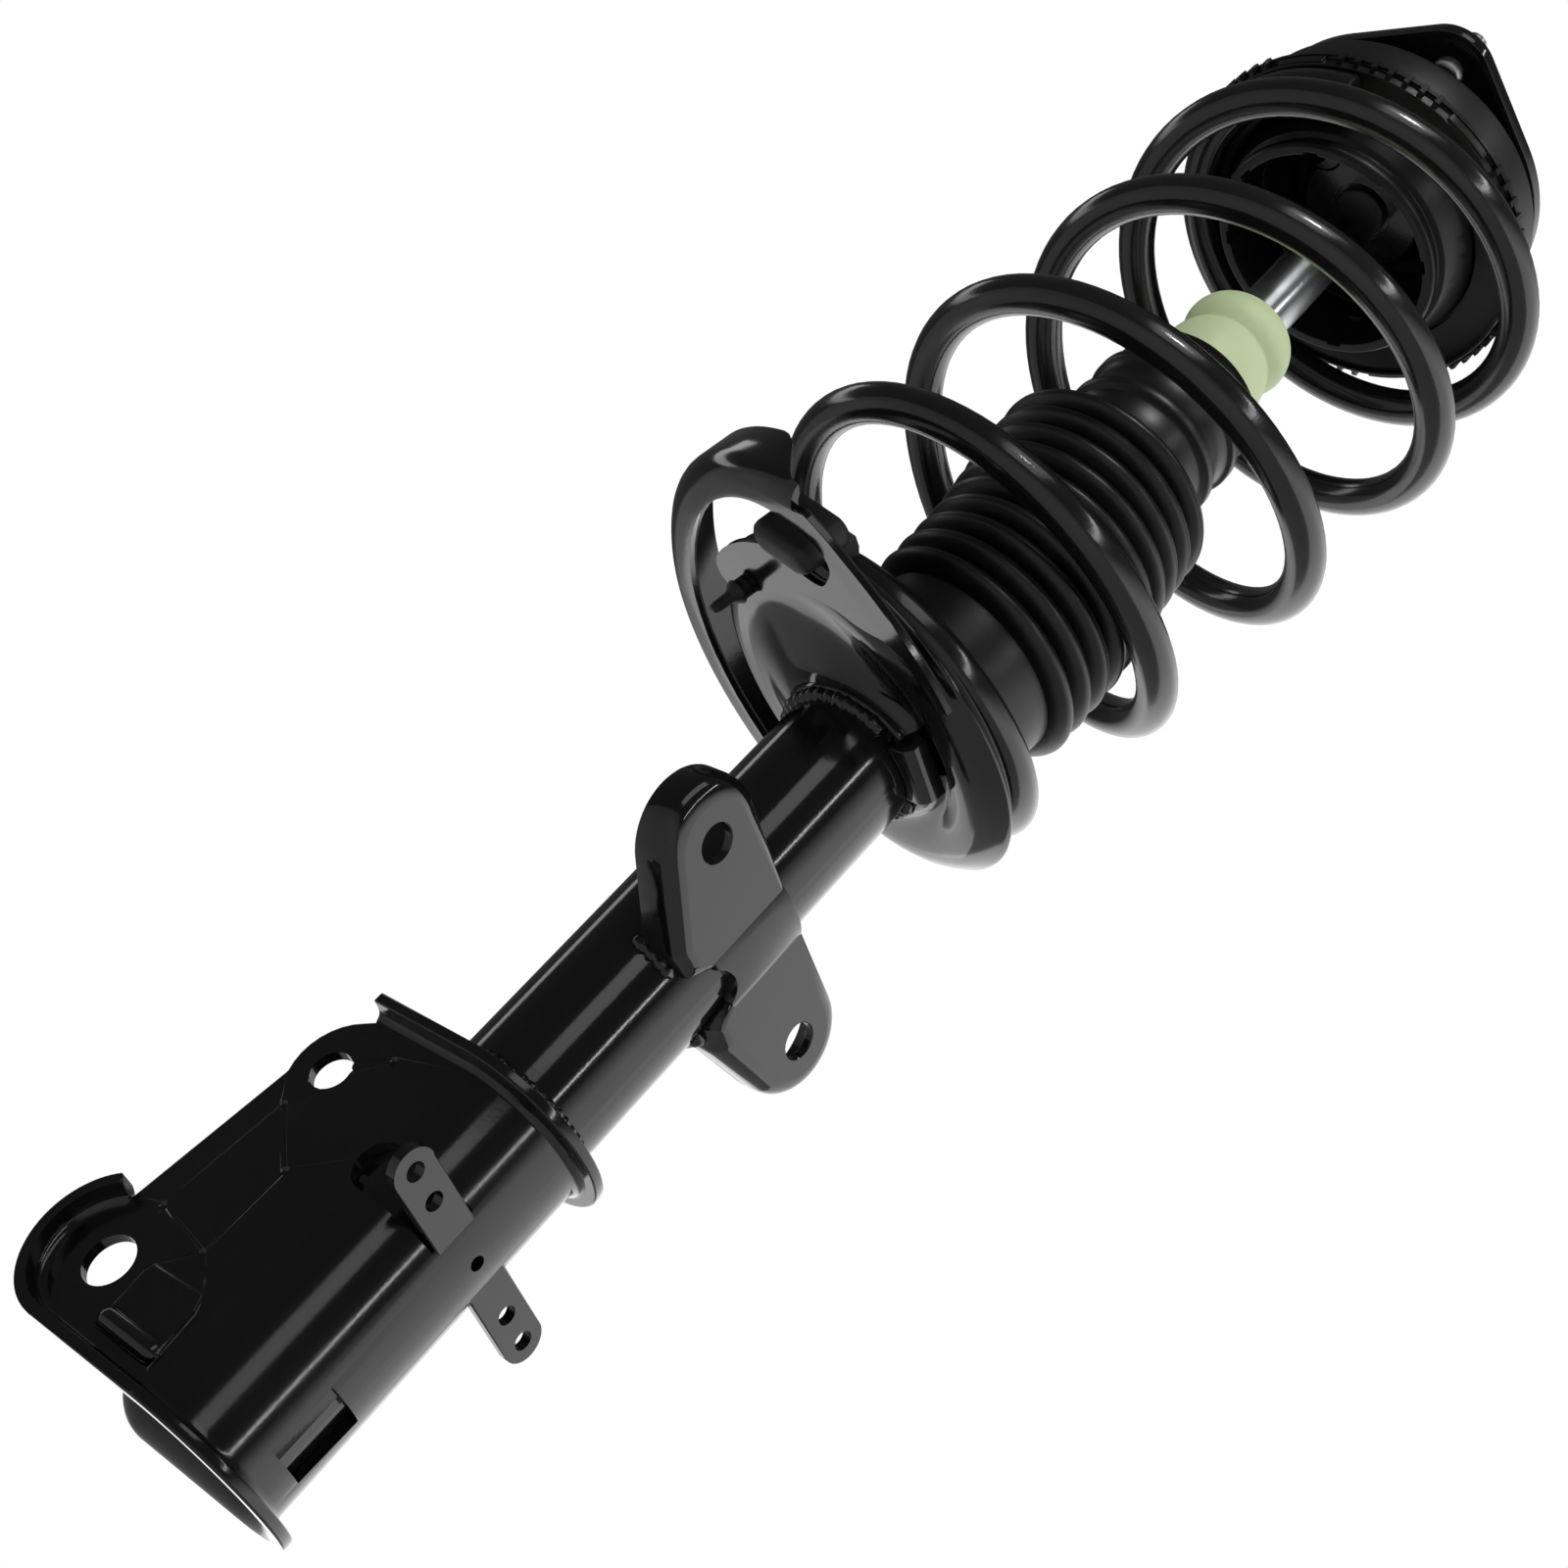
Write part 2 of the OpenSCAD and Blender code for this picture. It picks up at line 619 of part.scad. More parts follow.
module dust_boot() {
    z_base = z_boot - seat_shift * sin(seat_tilt) + 0.4;
    wave = [[0, 0], [0.3, 0.8], [0.5, 1], [0.7, 0.8]];
    bellows = [for (k = [0:boot_crests - 1], w = wave)
        [z_boot_bellows + boot_pitch * (k + w[0]), boot_valley_r + (boot_crest_r - boot_valley_r) * w[1]]];
    ring_r = boot_neck_r + 3;
    outside = concat(
        [[z_base, tube_r + 9.5], [z_base + 15, tube_r + 10.5], [z_base + 27, tube_r + 12]],
        bellows,
        [[z_boot_neck, boot_valley_r - 3], [z_boot_neck + 4, boot_neck_r], [z_boot_neck + 18, boot_neck_r],
            [z_boot_neck + 20, ring_r], [z_boot_neck + 24, ring_r], [z_boot_neck + 26, boot_neck_r + 1],
            [z_boot_top - 22, ring_r], [z_boot_top - 18, ring_r], [z_boot_top - 16, boot_neck_r + 1],
            [z_boot_top - 6, boot_neck_r + 1], [z_boot_top, boot_neck_r - 1]]);
    inside = [[z_boot_top, stop_r + 0.4], [z_stop + 12, stop_r + 0.4],
        [z_stop + 5, boot_neck_r - boot_wall], [z_boot_neck + 4, boot_neck_r - boot_wall],
        [z_boot_neck - 3, boot_valley_r - 3 - boot_wall], [z_boot_bellows + 60, boot_valley_r - boot_wall],
        [z_boot_bellows, boot_valley_r - boot_wall], [z_base + 20, tube_r + 8.5], [z_base, tube_r + 7.5]];
    rings = concat(outside, inside);
    color("#161617") skin([for (p = rings) boot_circle(p[0], p[1])], closed = true);
}

// ---- lower spring seat ----
z_neck = z_seat - seat_shift * sin(seat_tilt);
nipple_r = 4;

// The collar that grips the tube, flared out into the floor of the seat; grown by a clearance
module neck_shape(grow) {
    neck_h = 8;
    flare = 5.5;
    translate([0, 0, z_neck])
        turned(concat([[0, -neck_h - flare + 0.5 - grow], [tube_r + seat_t + grow, -neck_h - flare + 0.5 - grow]],
            arc(tube_r + seat_t + flare, -flare, flare - grow, 180, 120, 4), [[0, -0.6]]));
}

module lower_spring_seat() {
    color("#121314") difference() {
        union() {
            in_seat_frame() turned(concat(
                [[0, -seat_t], [seat_coil_r, -seat_t]],
                arc(seat_coil_r, trough_r, trough_r + seat_t, -90, -lip_angle - 6, 6),
                [[rim_r + seat_t, rim_h - 2], [rim_r + seat_t, rim_h]],
                arc(seat_coil_r, trough_r, trough_r, -lip_angle, -90, 6),
                [[0, 0]]));
            neck_shape(0);
        }
        disc(tube_r + fit, z_seat - 60, z_seat + 60);
        in_seat_frame() rotate([0, 0, tip_azimuth]) translate([seat_coil_r, 0, 0])
            disc(nipple_r + fit, -9, 5);
    }
}

// The slot beside the rim that the pad's lug pushes through
lug_long = 24;
lug_wide = 11;
lug_x = 4;
lug_y = rim_r + seat_t + lug_wide / 2 + 1.8;

module lug_outline(grow) {
    r = lug_wide / 2 + grow;
    half = (lug_long - lug_wide) / 2;
    translate([lug_x - half, lug_y - r]) square([2 * half, 2 * r]);
    translate([lug_x - half, lug_y]) circle(r);
    translate([lug_x + half, lug_y]) circle(r);
}

module guard_outline() {
    corner = [guard_out_r * cos(guard_span), guard_out_r * sin(guard_span)];
    touch = (rim_r + seat_t) * 0.7071;
    bend = [corner.x - 27, touch * 2 + corner.x - 27];
    far = 2 * guard_out_r;
    difference() {
        intersection() {
            circle(guard_out_r);
            polygon([corner, [corner.x, far], [far, far], [far, -far], [corner.x, -far],
                [corner.x, -corner.y], [0, -rim_r - seat_t - 2], [0, 0], [-touch, touch], bend]);
        }
        circle(rim_r - 1.8);
        intersection() {
            circle(guard_in_r);
            polygon(concat([[0, 0]], arc(0, 0, far, -guard_open, guard_open, 6)));
        }
        lug_outline(0.6);
    }
}

module spring_guard() {
    bend = 4;
    lean = 42;
    color("#101112") in_seat_frame() difference() {
        union() {
            translate([0, 0, -seat_t]) linear_extrude(seat_t) difference() {
                guard_outline();
                difference() {
                    circle(guard_out_r + 1);
                    circle(guard_out_r - seat_t - bend);
                    polygon(concat([[0, 0]], arc(0, 0, -3 * guard_out_r, -180 + guard_span - 180,
                        180 - guard_span - 180, 6)));
                }
            }
            rotate([0, 0, -guard_span]) rotate_extrude(angle = 2 * guard_span)
                polygon(concat([[guard_out_r - seat_t - bend - 1, -seat_t]],
                    arc(guard_out_r - seat_t - bend, bend, seat_t + bend, -90, 0, 5),
                    [[guard_out_r, guard_h], [guard_out_r - seat_t, guard_h]],
                    arc(guard_out_r - seat_t - bend, bend, bend, 0, -90, 5),
                    [[guard_out_r - seat_t - bend - 1, 0]]));
        }
        both_sides() rotate([0, 0, guard_span]) translate([guard_out_r - 15, 0, 2])
            rotate([lean, 0, 0]) translate([0, 0, -10]) cube([30, 60, 90]);
    }
}

// Section of the rubber pad in the seat's trough: its outer arc, from the floor up to a height angle
function pad_floor(to) = concat([[seat_coil_r, run_fit]],
    arc(seat_coil_r, trough_r, trough_r - run_fit, -90 + pad_step, to, round((to + 90) / pad_step) - 1));
pad_step = 13;

module pad_block(tunnel) {
    rim_gap = 0.1;
    block_in = seat_coil_r - 12;
    block_out = rim_r + seat_t + 4;
    block_top = trough_r + 13.6;
    chamfer = 3;
    rotate_extrude(angle = tunnel ? 58 : 17) difference() {
        polygon(concat([[block_in, run_fit]], pad_floor(-lip_angle - 2),
            [[seat_coil_r + trough_r * cos(lip_angle) - rim_gap, rim_h + rim_gap],
                [rim_r + seat_t + rim_gap, rim_h + rim_gap], [rim_r + seat_t + rim_gap, 3], [block_out, 5],
                [block_out, block_top - chamfer], [block_out - chamfer, block_top],
                [block_in + chamfer, block_top], [block_in, block_top - chamfer]]));
        if (tunnel) {
            translate([seat_coil_r, trough_r]) circle(wire_r + gap);
            translate([seat_coil_r, trough_r + 1.4]) circle(wire_r + 0.9);
        }
    }
}

module lower_isolator() {
    base_in = seat_coil_r - 6;
    open_r = wire_r + gap;
    solid_from = 25;
    tunnel_from = solid_from + 17;
    tunnel_to = tunnel_from + 58;
    color("#131313") in_seat_frame() union() {
        rotate([0, 0, tunnel_to]) rotate_extrude(angle = 360 - 75)
            polygon(concat([[base_in, run_fit]], pad_floor(-12),
                arc(seat_coil_r, trough_r, open_r, -12, -90, 6), [[base_in, trough_r - open_r]]));
        rotate([0, 0, solid_from]) pad_block(false);
        rotate([0, 0, tunnel_from]) pad_block(true);
        rotate([0, 0, tip_azimuth]) translate([seat_coil_r, 0, 0])
            turned([[0, -19], [1.7, -19], [2.2, -18], [2.2, -11], [nipple_r + 0.8, -8], [nipple_r, -7],
                [nipple_r, 1.7], [0, 1.7]]);
        translate([0, 0, -7]) linear_extrude(16) lug_outline(0);
        translate([lug_x - lug_long / 2, rim_r + seat_t + 0.3, 0.3])
            cube([lug_long, lug_wide + 2, 10]);
    }
}

gusset_azimuth = 176;

// A short pressed channel welded under the seat, open towards the tube
module seat_gusset() {
    width = 24;
    long = seat_coil_r - 10;
    wall = 2.5;
    corner = 5;
    deep = 13;
    color("#121314") difference() {
        in_seat_frame() rotate([0, 0, gusset_azimuth]) difference() {
            rotate([90, 0, 0]) translate([0, 0, -width / 2]) linear_extrude(width)
                polygon(concat([[8, -seat_t - fit], [long, -seat_t - fit]],
                    arc(long - corner, -deep + corner, corner, 0, -90, 5), [[8, -deep - 3]]));
            rotate([90, 0, 0]) translate([0, 0, -width / 2 + wall]) linear_extrude(width - 2 * wall)
                polygon([[6, -seat_t + 1], [long - wall, -seat_t + 1], [long - wall, -deep + corner],
                    [long - corner, -deep + wall], [6, -deep]]);
            translate([tube_r + 2, -7, -30]) cube([7, 14, 25]);
        }
        disc(tube_r + fit, z_seat - 80, z_seat + 60);
        neck_shape(fit);
    }
}

// ---- sway bar bracket ----
module sway_ear_outline(inset) {
    ear_r = 21 - inset;
    top = 17 - inset;
    foot = 30 - inset;
    foot_y = 23;
    half = sway_spacing / 2;
    fall = atan2(foot - ear_r, half - foot_y);
    translate([half, 0]) circle(ear_r);
    translate([-half, 0]) circle(ear_r);
    translate([-half, 0]) square([2 * half, top]);
    polygon([[-half, 0], [-half - ear_r * sin(fall), -ear_r * cos(fall)], [-foot_y, -foot],
        [foot_y, -foot], [half + ear_r * sin(fall), -ear_r * cos(fall)], [half, 0]]);
}

module sway_bracket() {
    t = 4;
    depth = 15;
    bulge = 2;
    face = tube_r + fit + t;
    plate = face - bulge;
    low = 18.5;
    top = 17.5;
    color("#131415") difference() {
        union() {
            translate([-plate, 0, z_sway]) rotate([90, 0, 90]) difference() {
                linear_extrude(t + depth) sway_ear_outline(0);
                translate([0, 0, t]) linear_extrude(depth + 1) sway_ear_outline(t);
            }
            intersection() {
                pipe(tube_r + fit, face, z_sway - low, z_sway + top);
                wedge(3 * face, 118, 242, z_sway - 60, z_sway + 60);
            }
            both_sides() translate([-10, tube_r - 3, z_sway - 30]) rotate([0, 0, -14]) cube([12, 9, t]);
        }
        disc(tube_r + fit, z_sway - 60, z_sway + 60);
        for (s = [-1, 1]) translate([-plate - 1, s * sway_spacing / 2, z_sway])
            rotate([0, 90, 0]) cylinder(r = sway_hole_d / 2, h = t + 2);
        translate([-60, -12.5, z_sway - 40]) cube([60, 25, 40 - low + 0.01]);
        translate([-60, 0, z_sway - low - 6]) rotate([0, 90, 0]) cylinder(r = 10, h = 60);
    }
}

// ---- knuckle bracket ----
// Section of a sheet edge turned outwards: u away from the tube, v along the sheet up to its edge
function turned_edge(leg = 1) = let (c = bracket_t + bend_r) concat(
    [[0, -c - leg], [bracket_t, -c - leg]],
    arc(c, -c, bend_r, 180, 90, 5),
    [[edge_w, -bracket_t], [edge_w, 0]],
    arc(c, -c, c, 90, 180, 5));

module channel_section(reach) {
    difference() {
        union() {
            circle(bracket_out);
            translate([0, -bracket_out]) square([reach, 2 * bracket_out]);
        }
        circle(bracket_r);
        translate([0, -bracket_r]) square([reach + 1, 2 * bracket_r]);
    }
}

module side_outline() {
    edge = bracket_t + bend_r;
    under_lap = 0.4;
    ear_c = [upper_bolt_x - 4.3, z_upper_bolt + 1];
    ear_r = 19.5;
    rim_start = 55;
    lobe = [lower_bolt_x, z_lower_bolt];
    polygon(concat(
        [[-60, z_bracket_top - edge], [upper_bolt_x + 1.2, z_bracket_top - edge]],
        arc(ear_c.x, ear_c.y, ear_r, 63, -24, 8),
        [[lobe.x + (lobe_r - bracket_t) * cos(rim_start), lobe.y + (lobe_r - bracket_t) * sin(rim_start)]],
        arc(lobe.x, lobe.y, lobe_r - edge - under_lap, rim_start, -82, 10),
        [[lobe.x - 3, z_bracket_bottom + edge], [-60, z_bracket_bottom + edge]]));
}

module round_edge_at(z, up) {
    flange_x = up > 0 ? upper_bolt_x + 1.2 : lower_bolt_x;
    translate([0, 0, z]) mirror([0, 0, up > 0 ? 0 : 1]) {
        rotate([0, 0, 90]) rotate_extrude(angle = 180)
            translate([bracket_r, 0]) polygon(turned_edge());
        both_sides() translate([0, bracket_r, 0]) rotate([90, 0, 90])
            linear_extrude(flange_x) polygon(turned_edge());
    }
}

ear_z = -44.5;
ear_w = 15;
ear_hole_d = 6.5;
ear_hole_inner = bracket_out;
ear_hole_spacing = 14;
z_ears = z_bracket_top + ear_z;

module hose_ear() {
    ear_tip = ear_hole_inner + ear_hole_spacing;
    plate_x = -bracket_out + 2.5;
    translate([plate_x, 0, z_ears]) rotate([90, 0, 90]) linear_extrude(bracket_t) {
        translate([10, -ear_w / 2]) square([ear_tip - 10, ear_w]);
        translate([ear_tip, 0]) circle(ear_w / 2);
    }
}

// A raised pad and a rib pressed into each cheek below the lower bolt, and small punch marks
module cheek_marks() {
    pad = [[35.5, -4], [34.5, -7.6], [11.7, -8.3], [9.4, -3.4], [8, 15.6], [34, 15.6]];
    shift = [lower_bolt_x - 49.6, z_lower_bolt];
    pad_h = 1.2;
    rib_r = 4.2;
    rib_sink = 2.1;
    translate([shift.x, bracket_out - 1, shift.y]) rotate([90, 0, 0]) mirror([0, 0, 1])
        linear_extrude(1 + pad_h) polygon([for (p = pad) [p[0], -p[1] - 1]]);
    translate([shift.x + 12, bracket_out + pad_h - rib_sink, shift.y - 12.7]) rotate([0, 90, 0])
        cylinder(r = rib_r, h = 20);
    for (x = [12, 32]) translate([shift.x + x, bracket_out + pad_h - rib_sink, shift.y - 12.7])
        sphere(rib_r);
}

module punch_marks() {
    marks = [[24, -14.7], [44.4, -43.5], [24.2, -60.2], [50, -88], [24.7, -92.4]];
    for (m = marks) translate([m[0], bracket_out + 1.1, z_bracket_top + m[1]]) sphere(1.9, $fn = 24);
}

module knuckle_bracket() {
    rim_start = 55;
    window_h = 17;
    window_end = 6.5;
    depth = 70;
    color("#111213") difference() {
        union() {
            intersection() {
                translate([0, 0, z_bracket_bottom]) linear_extrude(z_bracket_top - z_bracket_bottom)
                    channel_section(lower_bolt_x + 40);
                rotate([90, 0, 0]) translate([0, 0, -60]) linear_extrude(120) side_outline();
            }
            round_edge_at(z_bracket_top, 1);
            round_edge_at(z_bracket_bottom, -1);
            both_sides() translate([lower_bolt_x, bracket_r, z_lower_bolt])
                rotate([90, 0, 0]) mirror([0, 0, 1]) rotate([0, 0, -90])
                    rotate_extrude(angle = 90 + rim_start)
                        polygon([for (p = turned_edge()) [lobe_r + p[1], p[0]]]);
            both_sides() cheek_marks();
        }
        both_sides() punch_marks();
        translate([upper_bolt_x, 50, z_upper_bolt]) rotate([90, 0, 0])
            cylinder(r = upper_bolt_d / 2, h = 100);
        translate([lower_bolt_x, 50, z_lower_bolt]) rotate([90, 0, 0])
            cylinder(r = lower_bolt_d / 2, h = 100);
        both_sides() translate([0, bracket_r * 0.53, z_ears]) rotate([-90, 0, 0])
            linear_extrude(depth) {
                translate([window_end - window_h / 2, 0]) circle(window_h / 2);
                translate([-60, -window_h / 2]) square([60 + window_end - window_h / 2, window_h]);
            }
        translate([-bracket_r + 5, 0, z_bracket_bottom + 26]) rotate([0, -90, 0])
            linear_extrude(20) square([23, 18], center = true);
        translate([-bracket_r + 5, 0, z_ears]) rotate([0, -90, 0]) cylinder(r = 2.5, h = 20);
    }
    color("#111213") both_sides() difference() {
        hose_ear();
        disc(bracket_r, z_ears - 20, z_ears + 20);
        for (k = [0, 1]) translate([-60, ear_hole_inner + k * ear_hole_spacing, z_ears])
            rotate([0, 90, 0]) cylinder(r = ear_hole_d / 2, h = 60);
    }
}

// ---- welds ----
module weld_ring(z, size, from = 0, to = 360) {
    rotate([0, 0, from]) rotate_extrude(angle = to - from) translate([tube_r + fit / 2, z]) difference() {
        circle(size, $fn = 24);
        translate([-2 * size, -2 * size]) square([2 * size, 4 * size]);
    }
}

module weld_beads() {
    clear_of_gusset = 36;
    color("#191a1c") {
        weld_ring(z_neck - 16, 3, gusset_azimuth + clear_of_gusset, gusset_azimuth + 360 - clear_of_gusset);
        weld_ring(z_bracket_top + 2.6, 2.5);
    }
}

mount_plate();
mount_studs();
mount_cup();
mount_rubber();
mount_core();
rod_washer();
rod_nut();
bearing_cover();
bearing_upper_race();
bearing_balls();
ball_cage();
bearing_lower_race();
upper_spring_seat();
upper_isolator();
coil_spring();
piston_rod();
piston();
piston_band();
valve_shims();
piston_nut();
rebound_stop();
strut_tube();
tube_base();
pressure_tube();
foot_valve();
rod_guide();
rod_seal();
striker_cap();
bump_stop();
dust_boot();
lower_spring_seat();
spring_guard();
lower_isolator();
seat_gusset();
sway_bracket();
knuckle_bracket();
weld_beads();
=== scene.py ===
import math

import bmesh
import bpy
from mathutils import Matrix, Vector
from mathutils.geometry import tessellate_polygon


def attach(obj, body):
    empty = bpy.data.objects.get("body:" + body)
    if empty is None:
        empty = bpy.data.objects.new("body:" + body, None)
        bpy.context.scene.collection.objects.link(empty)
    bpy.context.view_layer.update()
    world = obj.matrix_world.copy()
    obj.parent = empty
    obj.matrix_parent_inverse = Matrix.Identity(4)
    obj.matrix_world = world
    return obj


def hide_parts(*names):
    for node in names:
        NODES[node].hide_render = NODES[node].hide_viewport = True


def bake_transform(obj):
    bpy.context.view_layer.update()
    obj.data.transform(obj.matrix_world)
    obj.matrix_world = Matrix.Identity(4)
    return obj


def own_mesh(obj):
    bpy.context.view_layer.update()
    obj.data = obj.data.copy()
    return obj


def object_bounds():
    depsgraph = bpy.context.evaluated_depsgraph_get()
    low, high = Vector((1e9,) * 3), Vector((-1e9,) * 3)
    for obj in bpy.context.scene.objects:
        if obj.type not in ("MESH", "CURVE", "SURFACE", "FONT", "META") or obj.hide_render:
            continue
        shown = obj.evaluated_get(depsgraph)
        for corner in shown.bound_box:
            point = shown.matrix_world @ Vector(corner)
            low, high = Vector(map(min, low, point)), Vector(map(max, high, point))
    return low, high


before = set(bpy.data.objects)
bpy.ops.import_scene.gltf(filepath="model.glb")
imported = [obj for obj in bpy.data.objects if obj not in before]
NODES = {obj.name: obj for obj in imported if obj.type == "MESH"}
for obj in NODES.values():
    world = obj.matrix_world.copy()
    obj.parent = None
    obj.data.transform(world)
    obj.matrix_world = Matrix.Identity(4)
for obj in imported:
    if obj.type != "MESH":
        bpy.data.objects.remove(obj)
MM = 0.001


def plain_box():
    """The whole object's box as plain lists, in metres."""
    low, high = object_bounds()
    return [[float(v) for v in low], [float(v) for v in high]]


cad_box = plain_box()


# ---------------------------------------------------------------- shader sums

class Channel:
    """A socket to do sums with: each operator adds the Math node that does it."""

    def __init__(self, tree, socket):
        self.tree = tree
        self.socket = socket

    def maths(self, operation, *terms):
        node = self.tree.nodes.new("ShaderNodeMath")
        node.operation = operation
        for entry, term in zip(node.inputs, terms):
            if isinstance(term, Channel):
                self.tree.links.new(term.socket, entry)
            else:
                entry.default_value = term
        return Channel(self.tree, node.outputs[0])

    def __add__(self, other):
        return self.maths("ADD", self, other)

    def __radd__(self, other):
        return self.maths("ADD", other, self)

    def __mul__(self, other):
        return self.maths("MULTIPLY", self, other)

    def __rmul__(self, other):
        return self.maths("MULTIPLY", other, self)


class NodeTree:
    """One tree of nodes. node() adds any node but the Math ones that Channel makes."""

    def __init__(self, tree):
        tree.nodes.clear()
        self.tree = tree

    def node(self, kind, out=0, settings=None, sockets=None):
        made = self.tree.nodes.new(kind)
        for key, value in (settings or {}).items():
            if key == "stops":
                self.set_stops(made.color_ramp, value)
            else:
                setattr(made, key, value)
        for key, value in (sockets or {}).items():
            if isinstance(value, Channel):
                self.tree.links.new(value.socket, made.inputs[key])
            else:
                made.inputs[key].default_value = value
        return Channel(self.tree, made.outputs[out]) if made.outputs else None

    @staticmethod
    def set_stops(ramp, stops):
        while len(ramp.elements) < len(stops):
            ramp.elements.new(0.5)
        for element, (position, level) in zip(ramp.elements, stops):
            element.position = position
            element.color = grey(level)

    def ramp(self, value, *stops):
        return self.node("ShaderNodeValToRGB", settings={"stops": stops}, sockets={"Fac": value})


class Finish(NodeTree):
    """A material under construction."""

    def __init__(self, name):
        self.material = bpy.data.materials.new(name)
        self.material.use_nodes = True
        super().__init__(self.material.node_tree)
        self.place = self.node("ShaderNodeTexCoord", out="Object")

    def noise(self, scale, detail=3, rough=0.55, stretch=(1, 1, 1)):
        """Cloudy noise from 0 to 1; scale is features per metre."""
        place = self.place
        if stretch != (1, 1, 1):
            place = self.node("ShaderNodeMapping", sockets={"Vector": place, "Scale": stretch})
        return self.node("ShaderNodeTexNoise", settings={"noise_dimensions": "3D"}, sockets={
            "Vector": place, "Scale": scale, "Detail": detail, "Roughness": rough})

    def cells(self, scale):
        """Distance to the nearest cell centre, about 0 to 1."""
        return self.node("ShaderNodeTexVoronoi", sockets={"Vector": self.place, "Scale": scale})

    def mix(self, factor, first, second):
        """A colour between two colours."""
        return self.node("ShaderNodeMix", out=2, settings={"data_type": "RGBA"},
                         sockets={0: factor, 6: first, 7: second})

    def bump(self, height, depth, strength=1.0, under=None):
        sockets = {"Height": height, "Distance": depth, "Strength": strength}
        if under is not None:
            sockets["Normal"] = under
        return self.node("ShaderNodeBump", sockets=sockets)

    def done(self, **sockets):
        """Closes the material with one Principled shader, whose sockets are the keywords."""
        named = {key.replace("_", " "): value for key, value in sockets.items()}
        shader = self.node("ShaderNodeBsdfPrincipled", sockets=named)
        self.node("ShaderNodeOutputMaterial", sockets={"Surface": shader})
        return self.material


def grey(level, warm=0.0):
    """A neutral colour, or one that leans to red and away from blue by the share warm."""
    return (level * (1 + warm), level, level * (1 - warm), 1)


# ---------------------------------------------------------------- finishes

def gloss_paint(name, level=0.004, rough=0.07, flow=0.00003):
    """Stoved gloss black on pressed steel, with the slow waves and fine peel that such paint has."""
    f = Finish(name)
    cloud = f.noise(28, 2)
    peel = f.noise(900, 2, 0.4)
    dust = f.ramp(f.noise(2600, 1), (0.66, 0), (0.80, 1))
    return f.done(
        Base_Color=f.mix(cloud, grey(level), grey(level * 1.7)),
        Roughness=rough + cloud * 0.07 + dust * 0.10,
        Normal=f.bump(peel, flow, 0.35, under=f.bump(cloud, 0.0004, 0.10)),
        Specular_IOR_Level=0.62,
    )


def chrome(name):
    """Hard chrome, ground round the rod."""
    f = Finish(name)
    rings = f.noise(300, 2, 0.6, stretch=(1, 1, 26))
    haze = f.noise(60, 2)
    return f.done(
        Base_Color=f.mix(haze, (0.70, 0.71, 0.73, 1), (0.80, 0.81, 0.82, 1)),
        Metallic=1.0,
        Roughness=0.20 + rings * 0.10,
        Normal=f.bump(rings, 0.00001, 0.25),
    )


def plated(name):
    """Zinc plate with a faint crystal cloud."""
    f = Finish(name)
    cloud = f.noise(220, 3)
    grain = f.noise(2400, 2)
    colour = (0.62, 0.63, 0.64)
    dark = tuple(c * 0.74 for c in colour)
    return f.done(
        Base_Color=f.mix(cloud, (*dark, 1), (*colour, 1)),
        Metallic=1.0,
        Roughness=0.26 + grain * 0.16,
        Normal=f.bump(grain, 0.00002, 0.3),
    )


def satin_moulding(name, level, rough):
    """Moulded black plastic with a fine spark-eroded grain."""
    f = Finish(name)
    grain = f.noise(3200, 2, 0.6)
    cloud = f.noise(40, 2)
    return f.done(
        Base_Color=f.mix(cloud, grey(level * 0.8), grey(level * 1.25)),
        Roughness=rough - 0.06 + grain * 0.14,
        Normal=f.bump(grain, 0.00004, 0.35),
        Specular_IOR_Level=0.35,
    )


def rubber(name, level, rough, bloom):
    """Moulded rubber with a little pale bloom."""
    f = Finish(name)
    grain = f.noise(1500, 3)
    patches = f.ramp(f.noise(70, 4), (0.52, 0), (0.74, 1))
    return f.done(
        Base_Color=f.mix(patches, grey(level), grey(level + bloom * 0.3, 0.04)),
        Roughness=rough - 0.05 + patches * 0.10 + grain * 0.08,
        Normal=f.bump(grain, 0.00006, 0.3),
    )


def foam(name):
    """Pale green cellular urethane: closed skin and fine pores; its colour drifts at random from green to a
    paler cream, and that cream is painted highlight.
    """
    f = Finish(name)
    pores = f.cells(1400)
    cloud = f.noise(46, 3)
    pits = f.ramp(pores, (0.05, 0), (0.32, 1))
    return f.done(
        # the paler cream end of this mix is painted highlight, laid in random clouds
        Base_Color=f.mix(cloud, (0.66, 0.82, 0.44, 1), (0.80, 0.90, 0.60, 1)),
        Roughness=0.44 + cloud * 0.10,
        Normal=f.bump(pits, 0.00005, 0.25, under=f.bump(f.noise(300, 2), 0.0001, 0.2)),
        Subsurface_Weight=0.25,
        Subsurface_Radius=(0.004, 0.006, 0.002),
        Subsurface_Scale=1.0,
    )


def bare_steel(name, level=0.34, rough=0.3):
    """Ground or sintered metal with a faint lengthwise grain."""
    f = Finish(name)
    grain = f.noise(1200, 3, stretch=(1, 1, 8))
    return f.done(
        Base_Color=f.mix(grain, grey(level * 0.8), grey(level)),
        Metallic=1.0,
        Roughness=rough + grain * 0.12,
        Normal=f.bump(grain, 0.00002, 0.3),
    )


